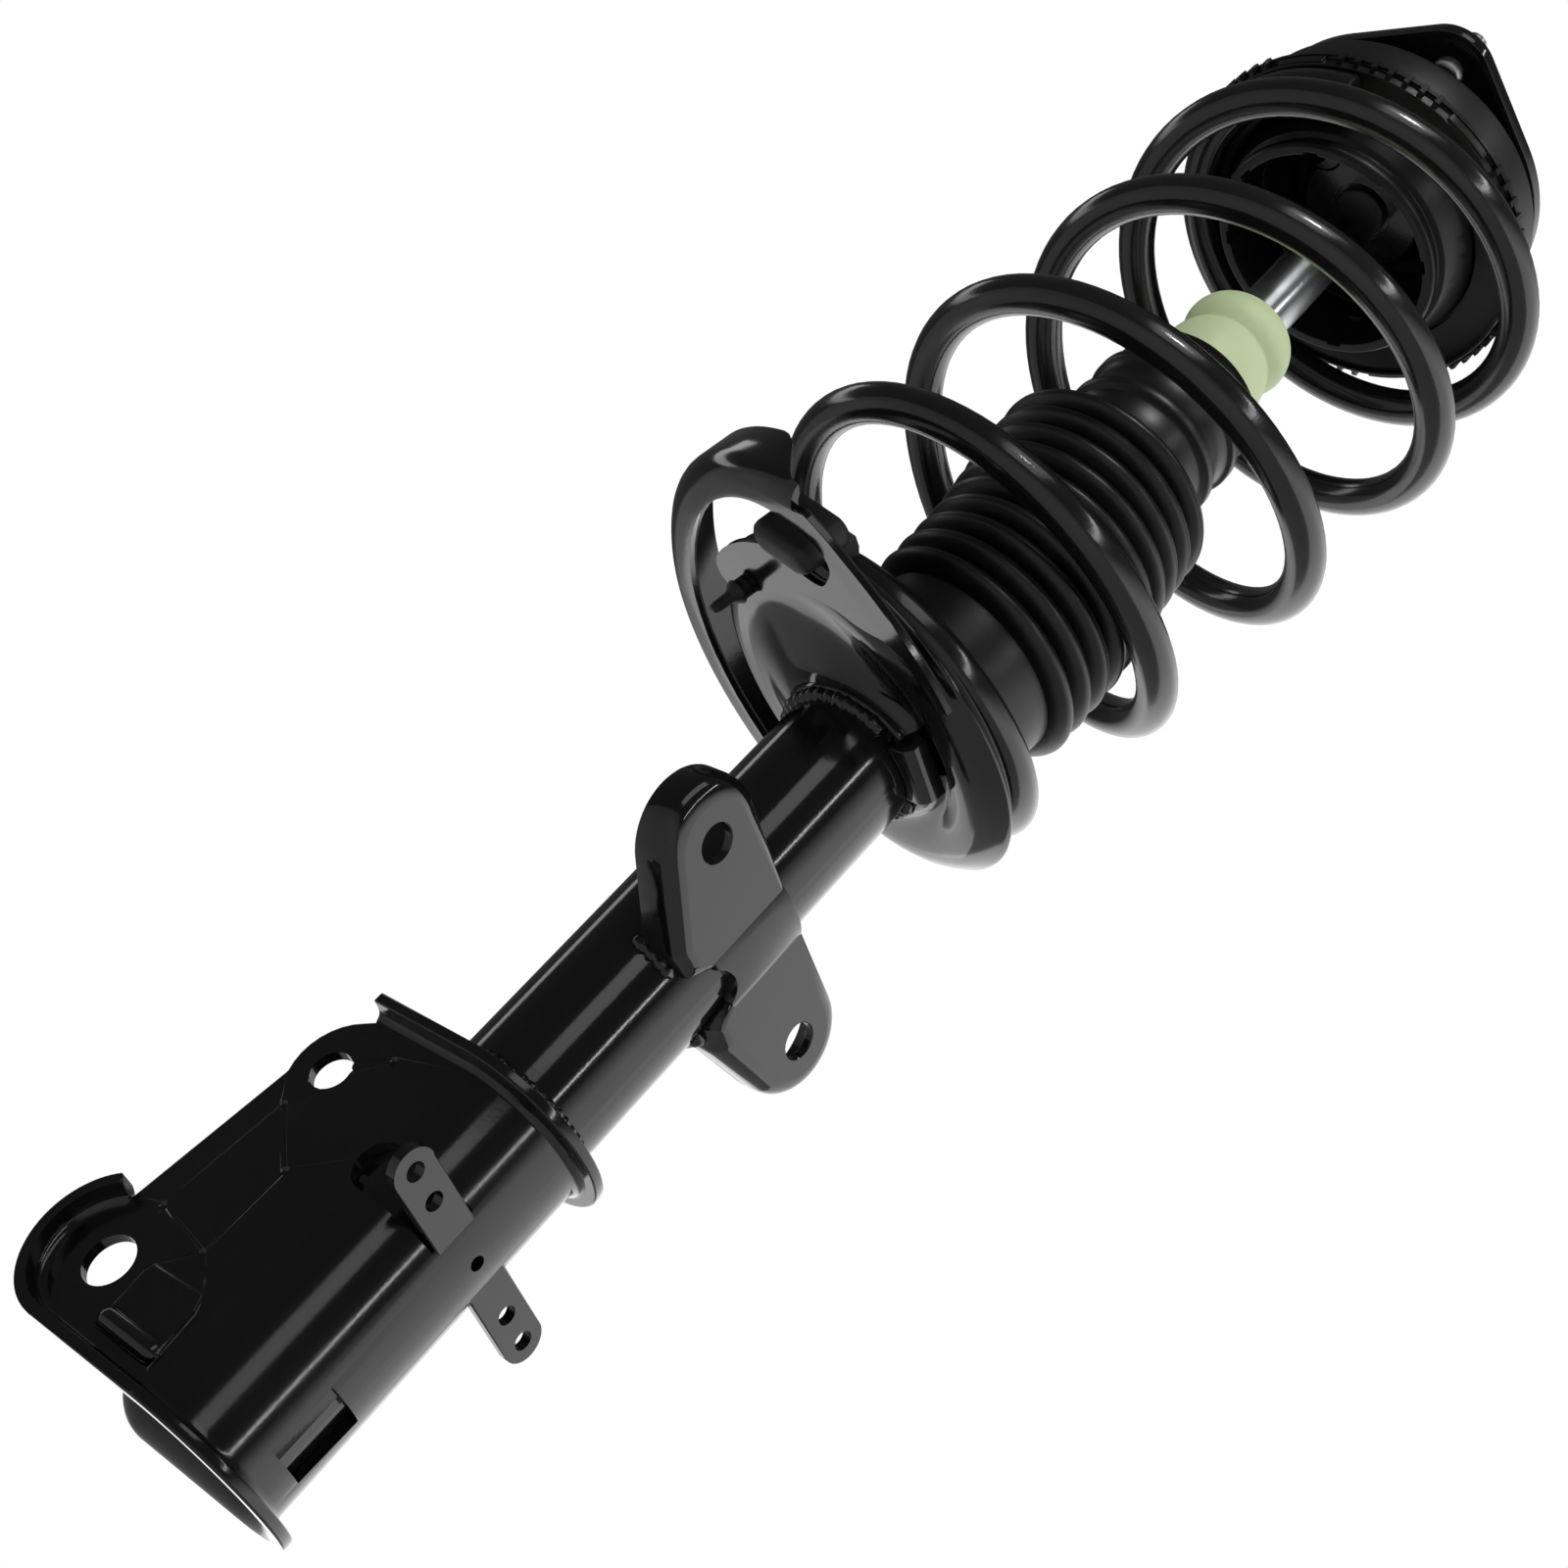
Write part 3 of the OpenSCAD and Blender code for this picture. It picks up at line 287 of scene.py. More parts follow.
PAINT = gloss_paint("gloss_black_paint")
SEAT_PAINT = gloss_paint("seat_black_paint", level=0.0035, rough=0.08)
PLATE_PAINT = gloss_paint("bracket_black_paint", level=0.004, rough=0.10)
SPRING_PAINT = gloss_paint("spring_powder_coat", level=0.006, rough=0.13, flow=0.00005)
CHROME = chrome("rod_chrome")
ZINC = plated("zinc_plate")
SATIN = satin_moulding("satin_black_moulding", level=0.010, rough=0.40)
SEAT_PLASTIC = satin_moulding("upper_seat_moulding", level=0.006, rough=0.34)
RUBBER = rubber("black_rubber", level=0.006, rough=0.55, bloom=0.015)
BOOT = rubber("boot_moulding", level=0.0035, rough=0.38, bloom=0.004)
FOAM = foam("stop_urethane")
STEEL = bare_steel("inner_steel")
IRON = bare_steel("sintered_iron", level=0.22, rough=0.5)
BAND = satin_moulding("slide_band_plastic", level=0.09, rough=0.4)

NODE_FINISH = {
    PAINT: ["strut_tube", "tube_base", "lower_spring_seat", "spring_guard", "seat_gusset",
            "sway_bracket", "weld_beads", "mount_cup", "striker_cap", "mount_plate"],
    PLATE_PAINT: ["knuckle_bracket"],
    SPRING_PAINT: ["coil_spring"],
    CHROME: ["piston_rod"],
    ZINC: ["mount_studs", "rod_nut", "rod_washer"],
    SATIN: ["bearing_cover", "ball_cage"],
    SEAT_PLASTIC: ["upper_spring_seat"],
    RUBBER: ["upper_isolator", "lower_isolator", "mount_rubber", "rod_seal", "rebound_stop"],
    BOOT: ["dust_boot"],
    FOAM: ["bump_stop"],
    STEEL: ["mount_core", "valve_shims", "piston_nut", "pressure_tube", "bearing_upper_race",
            "bearing_lower_race", "bearing_balls"],
    IRON: ["piston", "foot_valve", "rod_guide"],
    BAND: ["piston_band"],
}
for finish, names in NODE_FINISH.items():
    for name in names:
        mesh = NODES[name].data
        mesh.materials.clear()
        mesh.materials.append(finish)


# ---------------------------------------------------------------- mesh helpers

def ease(u):
    """0 to 1 with a soft start and a soft stop."""
    v = min(1.0, max(0.0, u))
    return v * v * (3 - 2 * v)


def mixed(a, b, u):
    """The value at the share u of the way from a to b."""
    return a + (b - a) * u


def around(sides):
    """The angles of so many even steps round a circle."""
    return [2 * math.pi * i / sides for i in range(sides)]


def add_piece(name, points, faces, finish, body):
    """A mesh piece from points in millimetres, riding on a body, or on none yet where body is None."""
    mesh = bpy.data.meshes.new(name)
    mesh.from_pydata([Vector(p) * MM for p in points], [], faces)
    mesh.validate()
    mesh.polygons.foreach_set("use_smooth", [True] * len(mesh.polygons))
    mesh.materials.append(finish)
    piece = bpy.data.objects.new(name, mesh)
    bpy.context.scene.collection.objects.link(piece)
    if body:
        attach(piece, body)
    return piece


def ring_faces(rings, sides, closed=False):
    """Quads between neighbouring rings; closed joins the last ring to the first."""
    last = rings if closed else rings - 1
    faces = []
    for j in range(last):
        k = (j + 1) % rings
        for i in range(sides):
            n = (i + 1) % sides
            faces.append((j * sides + i, j * sides + n, k * sides + n, k * sides + i))
    return faces


def capped_faces(rings, sides):
    """Quads between neighbouring rings, with a cap on the first ring and on the last."""
    last = (rings - 1) * sides
    return ring_faces(rings, sides) + [tuple(reversed(range(sides))), tuple(range(last, last + sides))]


def wire_ring(centre, along, radius, sides):
    """A circle of points across a path that runs more or less level."""
    side = Vector((0, 0, 1)).cross(along).normalized()
    up = along.cross(side)
    return [centre + (side * math.cos(b) + up * math.sin(b)) * radius for b in around(sides)]


def merge_shell(verts, faces, more_verts, more_faces):
    """Adds one closed shell to a piece that is made of several."""
    base = len(verts)
    verts += more_verts
    faces += [tuple(base + i for i in face) for face in more_faces]


def settle(piece):
    """Outward normals on a closed mesh."""
    shape = bmesh.new()
    shape.from_mesh(piece.data)
    bmesh.ops.recalc_face_normals(shape, faces=shape.faces)
    shape.to_mesh(piece.data)
    shape.free()


def sharpen(piece, angle):
    """Smooth shading that keeps edges steeper than the angle, in degrees, crisp."""
    mesh = piece.data
    shape = bmesh.new()
    shape.from_mesh(mesh)
    for edge in shape.edges:
        edge.smooth = len(edge.link_faces) != 2 or edge.calc_face_angle() < math.radians(angle)
    shape.to_mesh(mesh)
    shape.free()


def rounded_path(points):
    """An open path with its corners rounded: each point is (x, y, corner radius)."""
    steps = 4
    path = []
    for i, (x, y, corner) in enumerate(points):
        here = Vector((x, y))
        if corner <= 0 or i in (0, len(points) - 1):
            path.append(here)
            continue
        back = Vector(points[i - 1][:2]) - here
        ahead = Vector(points[i + 1][:2]) - here
        reach = min(corner / math.tan(back.angle(ahead) / 2), 0.49 * back.length, 0.49 * ahead.length)
        start = here + back.normalized() * reach
        end = here + ahead.normalized() * reach
        for u in (k / steps for k in range(steps + 1)):
            path.append(start * (1 - u) ** 2 + here * 2 * u * (1 - u) + end * u * u)
    return path


# ---------------------------------------------------------------- coil spring
# Sizes are in millimetres and repeat the CAD's. Azimuths are in degrees from outboard.

TUBE_R = 25.5
WIRE_R = 7.4
TURNS = 5.15
SEAT_TILT = math.radians(11)
SEAT_SHIFT = 12.0
Z_SEAT = -357.5
PAD_T = 3.0
TROUGH_R = WIRE_R + PAD_T
TIP_AZIMUTH = 48.0
Z_COIL_TOP = -45.55
Z_COIL_BOTTOM = Z_SEAT + TROUGH_R * math.cos(SEAT_TILT)

# The coils swell from the seat's to the middle ones and narrow to the top one.
SEAT_COIL_R = 58.0
COIL_SWELL = 21.0
TOP_COIL_R = 65.6

# The middle line bows outboard low down and inboard high up, which makes the side load.
LOW_BOW = 5.0
HIGH_BOW = 8.5
BOW_TILT = math.radians(2)

# Turns that lie flat against the seat and the top, and turns that move with each of them.
LEAD_IN = 0.55
LEAD_OUT = 1.3
HELD_TURNS = 0.25
SPRING_H = Z_COIL_TOP - Z_COIL_BOTTOM
PITCH = SPRING_H / (TURNS - LEAD_IN / 2 - LEAD_OUT / 2)


def coil_rise(t):
    """How far the wire has risen after t turns: flat at both ends, with an even pitch between."""
    if t < LEAD_IN:
        return PITCH * t * t / (2 * LEAD_IN)
    if t < TURNS - LEAD_OUT:
        return PITCH * (t - LEAD_IN / 2)
    return SPRING_H - PITCH * (TURNS - t) ** 2 / (2 * LEAD_OUT)


def over(t, start, length):
    """0 up to start turns, 1 from length turns later, and soft between."""
    return ease((t - start) / length)


def coil_point(t):
    """The wire's centre line after t turns, in millimetres."""
    swell = over(t, 0.14, 0.84)
    narrow = over(t, TURNS - 0.78, 0.61)
    leave_seat = over(t, 0, 0.8)
    centre = over(t, 1.1, 2.2)
    level = over(t, 1.1, 3.2)
    reach_top = over(t, TURNS - 0.65, 0.6)
    seat_x = SEAT_SHIFT - TROUGH_R * math.sin(SEAT_TILT)
    radius = SEAT_COIL_R + COIL_SWELL * swell - (SEAT_COIL_R + COIL_SWELL - TOP_COIL_R) * narrow
    shift = seat_x + LOW_BOW * leave_seat - (seat_x + LOW_BOW + HIGH_BOW) * centre + HIGH_BOW * reach_top
    tilt = SEAT_TILT * (1 - level) + BOW_TILT * (leave_seat - reach_top)
    a = math.radians(TIP_AZIMUTH) + 2 * math.pi * t
    return Vector((shift + radius * math.cos(a) * math.cos(tilt), radius * math.sin(a),
                   Z_COIL_BOTTOM + coil_rise(t) + radius * math.cos(a) * math.sin(tilt)))


def seat_share(t):
    """The share of the seat's travel that the wire makes after t turns: 1 at the seat, 0 at the top."""
    low, high = coil_rise(HELD_TURNS), coil_rise(TURNS - HELD_TURNS)
    return 1 - min(max((coil_rise(t) - low) / (high - low), 0), 1)


def make_spring():
    """The wire as one tube of round section along the coil; each ring's share of the seat's travel is worked
    out but not used.
    """
    rings_per_turn = 84
    sides = 28
    chamfer = 0.9
    chamfer_turns = 0.0022
    tangent_turns = 0.002
    steps = round(TURNS * rings_per_turn)
    stations = [(0, WIRE_R - chamfer), (chamfer_turns, WIRE_R)]
    stations += [(TURNS * i / steps, WIRE_R) for i in range(1, steps)]
    stations += [(TURNS - chamfer_turns, WIRE_R), (TURNS, WIRE_R - chamfer)]
    verts = []
    shares = []
    for t, radius in stations:
        along = (coil_point(t + tangent_turns) - coil_point(t - tangent_turns)).normalized()
        verts += wire_ring(coil_point(t), along, radius, sides)
        shares += [seat_share(t)] * sides
    faces = capped_faces(len(stations), sides)
    spring = add_piece("coil_spring_wire", verts, faces, SPRING_PAINT, None)
    sharpen(spring, 30)
    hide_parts("coil_spring")
    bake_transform(spring)


# ---------------------------------------------------------------- dust boot

Z_STOP = -186.5
Z_TUBE_TOP = Z_STOP - 4.3
Z_BOOT = Z_SEAT + 0.6
Z_BOOT_NECK = Z_TUBE_TOP - 27
Z_BELLOWS = Z_BOOT + 36
Z_BOOT_TOP = Z_STOP + 28
BOOT_CRESTS = 10
BOOT_CREST_R = TUBE_R + 19.5
BOOT_VALLEY_R = TUBE_R + 12.5
BOOT_NECK_R = TUBE_R + 3.6
BOOT_WALL = 1.8
STOP_R = 22.5


def boot_part(z):
    """0 at the boot's foot and 1 at its neck."""
    return min(1.0, max(0.0, (z - Z_BOOT) / (Z_BOOT_NECK - Z_BOOT)))


def boot_ring(z, r, sides):
    """A ring of the boot: the bellows lean and stand off the tube low down, and are true at the neck."""
    part = boot_part(z)
    foot_shift, bellows_shift = 2.5, 9
    shift = (-foot_shift * (1 - ease((z - Z_BOOT) / 20))
             - bellows_shift * ease((z - Z_BOOT) / 30) * (1 - ease((part - 0.45) / 0.55)))
    tilt = SEAT_TILT * ((1 - ease(part * 1.02)) * 0.72 + 0.28 * (1 - ease(part * 6)))
    return [Vector((shift + r * math.cos(a) * math.cos(tilt), r * math.sin(a),
                    z + r * math.cos(a) * math.sin(tilt))) for a in around(sides)]


def neck_band(foot, band_r, collar_r):
    """One raised ring round the boot's neck, from its foot up, as (height, radius)."""
    return [(foot, collar_r), (foot + 0.8, collar_r + 0.5), (foot + 1.3, band_r - 0.5), (foot + 2, band_r),
            (foot + 5.2, band_r), (foot + 5.9, band_r - 0.5), (foot + 6.4, collar_r + 0.6),
            (foot + 7.4, collar_r)]


def make_boot():
    """A thin-walled boot: foot, folds, shoulder, ringed neck and mouth, then back down inside."""
    sides = 144
    steps_per_fold = 16
    base = Z_BOOT - SEAT_SHIFT * math.sin(SEAT_TILT) + 0.4
    pitch = (Z_BOOT_NECK - Z_BELLOWS) / BOOT_CRESTS
    band_r = BOOT_NECK_R + 3
    collar_r = BOOT_NECK_R + 0.8
    neck = Z_BOOT_NECK
    lip = Z_BOOT_TOP
    bore_r = BOOT_NECK_R - BOOT_WALL
    foot = [(base, TUBE_R + 9.0), (base + 0.6, TUBE_R + 9.6), (base + 8, TUBE_R + 10.0),
            (base + 20, TUBE_R + 11.0), (base + 27, TUBE_R + 12.0)]
    bellows = []
    for k in range(BOOT_CRESTS):
        for u in (i / steps_per_fold for i in range(steps_per_fold)):
            lift = math.sin(math.pi * u) ** 0.75
            bellows.append((Z_BELLOWS + pitch * (k + u), mixed(BOOT_VALLEY_R, BOOT_CREST_R, lift)))
    shoulder = [(neck, BOOT_VALLEY_R - 1.5), (neck + 2, BOOT_VALLEY_R - 5), (neck + 4, BOOT_NECK_R + 1),
                (neck + 6, BOOT_NECK_R), (neck + 18, BOOT_NECK_R), (neck + 19, BOOT_NECK_R + 0.6),
                (neck + 19.6, band_r - 0.5), (neck + 20.2, band_r), (neck + 23.6, band_r),
                (neck + 24.3, band_r - 0.5), (neck + 24.8, collar_r + 0.6), (neck + 25.8, collar_r)]
    mouth = [(lip - 6, collar_r), (lip - 0.9, BOOT_NECK_R - 0.3), (lip, BOOT_NECK_R - 1.3)]
    inside = [(lip, STOP_R + 0.5), (Z_STOP + 12, STOP_R + 0.5), (Z_STOP + 5, bore_r), (neck + 4, bore_r),
              (neck - 3, BOOT_VALLEY_R - 3 - BOOT_WALL), (Z_BELLOWS, BOOT_VALLEY_R - BOOT_WALL),
              (base + 20, TUBE_R + 8.5), (base, TUBE_R + 7.6)]
    rows = foot + bellows + shoulder + neck_band(lip - 23.6, band_r, collar_r) + mouth + inside
    verts = [p for z, r in rows for p in boot_ring(z, r, sides)]
    boot = add_piece("boot_bellows", verts, ring_faces(len(rows), sides, closed=True), BOOT,
                     "damper")
    sharpen(boot, 50)
    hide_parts("dust_boot")


# ---------------------------------------------------------------- bump stop

def make_bump_stop():
    """A waisted foam sleeve: a full lower lobe, a belly, a crease and a domed nose."""
    length = 72.0
    bore = 11.8
    crease = STOP_R - 4.2
    nose = STOP_R - 9
    top = Z_STOP + length
    z_crease = top - length * 0.27
    z_waist = Z_STOP + length * 0.32
    upper = top - z_crease
    collar_share = 0.42
    rows = [(bore, Z_STOP)]
    for u in (i / 12 for i in range(13)):
        rows.append((mixed(crease, STOP_R, math.sin(math.radians(30 + 150 * u))), mixed(Z_STOP, z_waist, u)))
    for u in (i / 24 for i in range(1, 24)):
        rows.append((mixed(crease, STOP_R, math.sin(math.pi * u) ** 0.45), mixed(z_waist, z_crease, u)))
    for u in (i / 8 for i in range(9)):
        rows.append((mixed(crease, STOP_R, math.sin(math.pi / 2 * u) ** 0.8),
                     z_crease + upper * collar_share * u))
    for a in (math.pi / 2 * i / 12 for i in range(1, 13)):
        rows.append((mixed(nose, STOP_R, math.cos(a)),
                     z_crease + upper * (collar_share + (1 - collar_share) * math.sin(a))))
    rows += [(bore + 1, top), (bore, top - 1)]
    sides = 96
    verts = [(r * math.cos(a), r * math.sin(a), z) for r, z in rows for a in around(sides)]
    stop = add_piece("bump_stop_foam", verts, ring_faces(len(rows), sides, closed=True), FOAM,
                     "damper")
    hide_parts("bump_stop")
    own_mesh(stop)


make_spring()
make_boot()
make_bump_stop()


# ---------------------------------------------------------------- lower spring seat

Z_NECK = Z_SEAT - SEAT_SHIFT * math.sin(SEAT_TILT)
SEAT_NORMAL = Vector((-math.sin(SEAT_TILT), 0, math.cos(SEAT_TILT)))
SEAT_ACROSS = Vector((math.cos(SEAT_TILT), 0, math.sin(SEAT_TILT)))
ALONG_Y = Vector((0, 1, 0))

# The guard's sheet, its outer bend radius, its floor and height, and where its wall begins and ends.
GUARD_T = 3.0
GUARD_BEND = 8.0
GUARD_FLOOR = -4.1
GUARD_H = 18
WALL_FROM = 96.0
WALL_TO = -62.0


def seat_point(r, azimuth, h):
    """A point in the seat's own tilted frame: radius and azimuth in its plane, height over its floor."""
    x = r * math.cos(azimuth)
    return Vector((SEAT_SHIFT + x * math.cos(SEAT_TILT) - h * math.sin(SEAT_TILT),
                   r * math.sin(azimuth), Z_SEAT + x * math.sin(SEAT_TILT) + h * math.cos(SEAT_TILT)))


def make_seat():
    """A deep-drawn dish: the collar round the tube flares out like a horn to the rounded trough."""
    sides = 168
    under = [(TUBE_R + 0.3, -13.6), (28.2, -13.6), (28.8, -13.1), (28.9, -12.0), (29.3, -10.4), (30.6, -8.4),
             (32.8, -6.7), (36, -5.3), (40, -4.2), (44.5, -3.5), (49, -3.3), (53, -3.5), (57, -3.7),
             (60.5, -3.3), (63.6, -2.1), (66.3, -0.4), (68.6, 1.7), (70.2, 3.4), (71.2, 4.5), (71.4, 5.2)]
    lip = [(71.1, 5.7), (70.4, 5.9), (69.4, 5.7)]
    inner = [(SEAT_COIL_R + TROUGH_R * math.cos(a), TROUGH_R * (1 + math.sin(a)))
             for a in (math.radians(d) for d in range(-30, -91, -6))]
    profile = under + lip + inner + [(TUBE_R + 0.3, 0)]
    verts = []
    for r, h in profile:
        lean = ease((r - 28) / 26)
        for a in around(sides):
            collar = Vector((r * math.cos(a), r * math.sin(a), Z_NECK + h))
            verts.append(collar.lerp(seat_point(r, a, h), lean))
    seat = add_piece("spring_seat_dish", verts, ring_faces(len(profile), sides, closed=True), SEAT_PAINT,
                     "damper")
    sharpen(seat, 60)
    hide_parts("lower_spring_seat")


def guard_plan():
    """The wing's flat part as (radius, azimuth in degrees), from the wall's -Y end round to itself."""
    slot_out = [(83.5, -60), (83, -40), (82.6, -20), (82.8, 0), (83.4, 20), (85.0, 40), (88.4, 56),
                (91.0, 70), (92.0, 80), (91.4, 88), (90.4, 94), (88.4, 99.5), (85.5, 103.5), (82, 105.6),
                (78, 106), (74, 105), (70, 103.5), (67.2, 101.5), (66.0, 98), (66.4, 93), (68.4, 88),
                (71.4, 84)]
    slot_in = [(72.4, 78), (72.4, 70), (72.4, 60), (72.4, 50), (71.6, 43), (68.5, 39), (64, 38.4), (59, 41),
               (56, 46), (54.6, 54), (54.2, 63), (54.6, 73), (56.4, 85), (58.6, 95), (60.8, 106), (62.4, 115),
               (65.4, 121), (69.4, 126), (71.8, 134), (72.4, 142), (72.6, 150)]
    free_edge = [(73.4, 151), (75.8, 142), (80.6, 128), (88.2, 112.5), (94.0, 104.5), (97.6, 99.5)]
    return slot_out, slot_in, free_edge


def smooth_chain(points, steps):
    """Catmull-Rom through (radius, degrees) pairs."""
    chain = []
    for i in range(len(points) - 1):
        a, b, c, d = (Vector(points[min(max(j, 0), len(points) - 1)]) for j in (i - 1, i, i + 1, i + 2))
        for k in range(steps):
            u = k / steps
            chain.append(0.5 * (2 * b + (c - a) * u + (2 * a - 5 * b + 4 * c - d) * u * u
                                + (3 * b - a - 3 * c + d) * u ** 3))
    chain.append(Vector(points[-1]))
    return chain


def wall_r(az):
    """Outer radius of the guard's wall at an azimuth in degrees."""
    return 98.5 + 6.3 * ease((az - 22) / 52)


def wall_top(az):
    """Height of the guard's wall, which runs out into the plate at both ends."""
    return GUARD_H - 17.2 * ease((az - 80.5) / 15.5) - 17.2 * ease((-46 - az) / 16)


def wall_section(foot_r, top):
    """The wall from the plate's lower face round the bend, over the top and back, as (radius, height)."""
    out_r = foot_r + GUARD_BEND
    in_bend = GUARD_BEND - GUARD_T
    z_bend = GUARD_FLOOR + GUARD_BEND
    bend = [math.radians(-90 + 90 * k / 7) for k in range(1, 8)]
    section = [(foot_r + GUARD_BEND * math.cos(a), min(top - 0.2, z_bend + GUARD_BEND * math.sin(a)))
               for a in bend]
    section += [(out_r, max(top - 0.9, section[-1][1])), (out_r - 0.3, top - 0.2), (out_r - 1.0, top),
                (out_r - GUARD_T + 0.9, top), (out_r - GUARD_T + 0.3, top - 0.2)]
    section += [(foot_r + in_bend * math.cos(a), min(top - 0.25, z_bend + in_bend * math.sin(a)))
                for a in reversed(bend)]
    return section


def make_guard():
    """The wing: a flat plate with a crescent slot, drawn up into a wall round the outboard side."""
    upper = GUARD_FLOOR + GUARD_T
    chamfer = 0.5
    steps = 92
    slot_out, slot_in, free_edge = guard_plan()
    azimuths = [mixed(WALL_FROM, WALL_TO, k / steps) for k in range(steps + 1)]
    rim = [Vector((wall_r(az) - GUARD_BEND, az)) for az in azimuths]
    edge = smooth_chain(slot_out + slot_in, 3) + smooth_chain(free_edge, 4)
    plan = edge + rim
    count = len(plan)
    first_rim = len(edge)

    def in_plane(p, h):
        return seat_point(p.x, math.radians(p.y), h)

    verts = []
    levels = ((chamfer, GUARD_FLOOR), (0, GUARD_FLOOR + chamfer), (0, upper - chamfer), (chamfer, upper))
    for inset, h in levels:
        for i, p in enumerate(plan):
            here = in_plane(p, h)
            if inset and i < first_rim:
                along = (in_plane(plan[(i + 1) % count], h) - in_plane(plan[i - 1], h)).normalized()
                here += SEAT_NORMAL.cross(along) * inset
            verts.append(here)
    faces = [tuple(range(count)), tuple(reversed(range(3 * count, 4 * count)))]
    for layer in range(3):
        low, high = layer * count, (layer + 1) * count
        for i in range(count):
            n = (i + 1) % count
            if not first_rim <= i < count - 1:
                faces.append((low + i, high + i, high + n, low + n))

    columns = []
    for i, (foot_r, az) in enumerate(rim, first_rim):
        section = wall_section(foot_r, max(upper + 0.3, wall_top(az)))
        base = len(verts)
        verts += [seat_point(r, math.radians(az), h) for r, h in section]
        columns.append([i, *range(base, base + len(section)), 3 * count + i])
    for left, right in zip(columns, columns[1:]):
        for a in range(len(left) - 1):
            faces.append((left[a], left[a + 1], right[a + 1], right[a]))
    for column in (columns[0], columns[-1]):
        faces.append((*column, 2 * count + column[0], count + column[0]))

    guard = add_piece("guard_wing", verts, faces, SEAT_PAINT, "damper")
    settle(guard)
    sharpen(guard, 34)
    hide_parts("spring_guard")


def pad_ring():
    """The pad's cup under the wire, part of the way round, as points and faces."""
    outer_r = TROUGH_R - 0.2
    open_r = WIRE_R + 0.45
    from_deg, sweep, steps = 88, 300, 150
    section = [(52.4, 0.2), (SEAT_COIL_R, 0.2)]
    section += [(SEAT_COIL_R + outer_r * math.cos(a), TROUGH_R + outer_r * math.sin(a))
                for a in (math.radians(d) for d in range(-84, -11, 9))]
    section += [(SEAT_COIL_R + 9.4, TROUGH_R - 1)]
    section += [(SEAT_COIL_R + open_r * math.cos(a), TROUGH_R + open_r * math.sin(a))
                for a in (math.radians(d) for d in range(-14, -91, -9))]
    section += [(53, 2.55), (52.4, 1.9)]
    points = [seat_point(r, math.radians(from_deg + sweep * k / steps), h)
              for k in range(steps + 1) for r, h in section]
    return points, capped_faces(steps + 1, len(section))


def pad_sleeve():
    """The sleeve round the wire's end, closed beyond its tip."""
    sides = 40
    outer = 10.9
    open_r = WIRE_R + 0.45

    def ring(az, radius):
        t = (az - TIP_AZIMUTH) / 360
        if t > 0:
            centre = coil_point(t)
            along = (coil_point(t + 0.01) - coil_point(t)).normalized()
        else:
            centre = seat_point(SEAT_COIL_R, math.radians(az), TROUGH_R)
            along = (seat_point(SEAT_COIL_R, math.radians(az + 1), TROUGH_R) - centre).normalized()
        return wire_ring(centre, along, radius, sides)

    outside = [(26.0, 1.0), (26.1, outer - 3.2), (26.5, outer - 1.6), (27.4, outer - 0.5), (28.8, outer)]
    outside += [(az, outer) for az in range(32, 87, 3)]
    mouth = [(87.2, outer - 0.3), (88.0, outer - 1.0), (88.3, outer - 1.9), (88.3, open_r + 0.4),
             (87.9, open_r)]
    inside = [(az, open_r) for az in range(84, 47, -4)] + [(46.4, open_r), (46.2, 1.0)]
    stations = outside + mouth + inside
    return [p for az, radius in stations for p in ring(az, radius)], capped_faces(len(stations), sides)


def pad_nipple():
    """The barbed nipple that is pulled through the seat under the wire's tip."""
    sides = 24
    profile = [(0.6, -19.4), (1.5, -19.2), (1.9, -18.4), (2.2, -17), (2.3, -11.4), (3.0, -10.2), (4.6, -8.2),
               (4.7, -7.4), (3.9, -6.6), (3.9, 0.9), (3.6, 1.6), (0.6, 1.7)]
    centre = seat_point(SEAT_COIL_R, math.radians(TIP_AZIMUTH), 0)
    points = [centre + SEAT_NORMAL * h + (SEAT_ACROSS * math.cos(b) + ALONG_Y * math.sin(b)) * r
              for r, h in profile for b in around(sides)]
    return points, capped_faces(len(profile), sides)


def pad_lug():
    """The long rounded lug that is pushed through the guard's slot."""
    sides = 32
    x, y = -1.5, 79.4
    half_length, end_r = 8.0, 6.0
    turn = math.radians(9)
    levels = [(-9.6, 0.3), (-9.4, 0.62), (-8.8, 0.82), (-7.6, 0.95), (-6.0, 1.0), (8, 1.0), (10.2, 0.96),
              (11.4, 0.84), (11.8, 0.6)]
    base = seat_point(math.hypot(x, y), math.atan2(y, x), 0)
    along = SEAT_ACROSS * math.cos(turn) + ALONG_Y * math.sin(turn)
    across = SEAT_NORMAL.cross(along)
    points = []
    for h, scale in levels:
        for b in around(sides):
            c = math.cos(b)
            end = math.copysign(half_length, c) if abs(c) > 1e-6 else 0
            points.append(base + SEAT_NORMAL * h + along * (end * (0.5 + 0.5 * scale) + end_r * scale * c)
                          + across * end_r * scale * math.sin(b))
    return points, capped_faces(len(levels), sides)


def pad_web():
    """The web that joins the lug to the sleeve over the seat's rim."""
    points = []
    for r, low, high in ((63, 8, 15), (68, 6.8, 16), (73, 6.6, 15.5), (78, 7.5, 12.5)):
        for az, h in ((80, low), (80, high), (98, high), (98, low)):
            points.append(seat_point(r, math.radians(az), h))
    return points, capped_faces(4, 4)


def make_lower_pad():
    """The rubber pad in the trough, with its sleeve, its nipple and its pushed-through lug."""
    verts, faces = [], []
    for part in (pad_ring, pad_sleeve, pad_nipple, pad_lug, pad_web):
        merge_shell(verts, faces, *part())
    pad = add_piece("lower_pad_rubber", verts, faces, RUBBER, "damper")
    settle(pad)
    sharpen(pad, 40)
    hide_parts("lower_isolator")


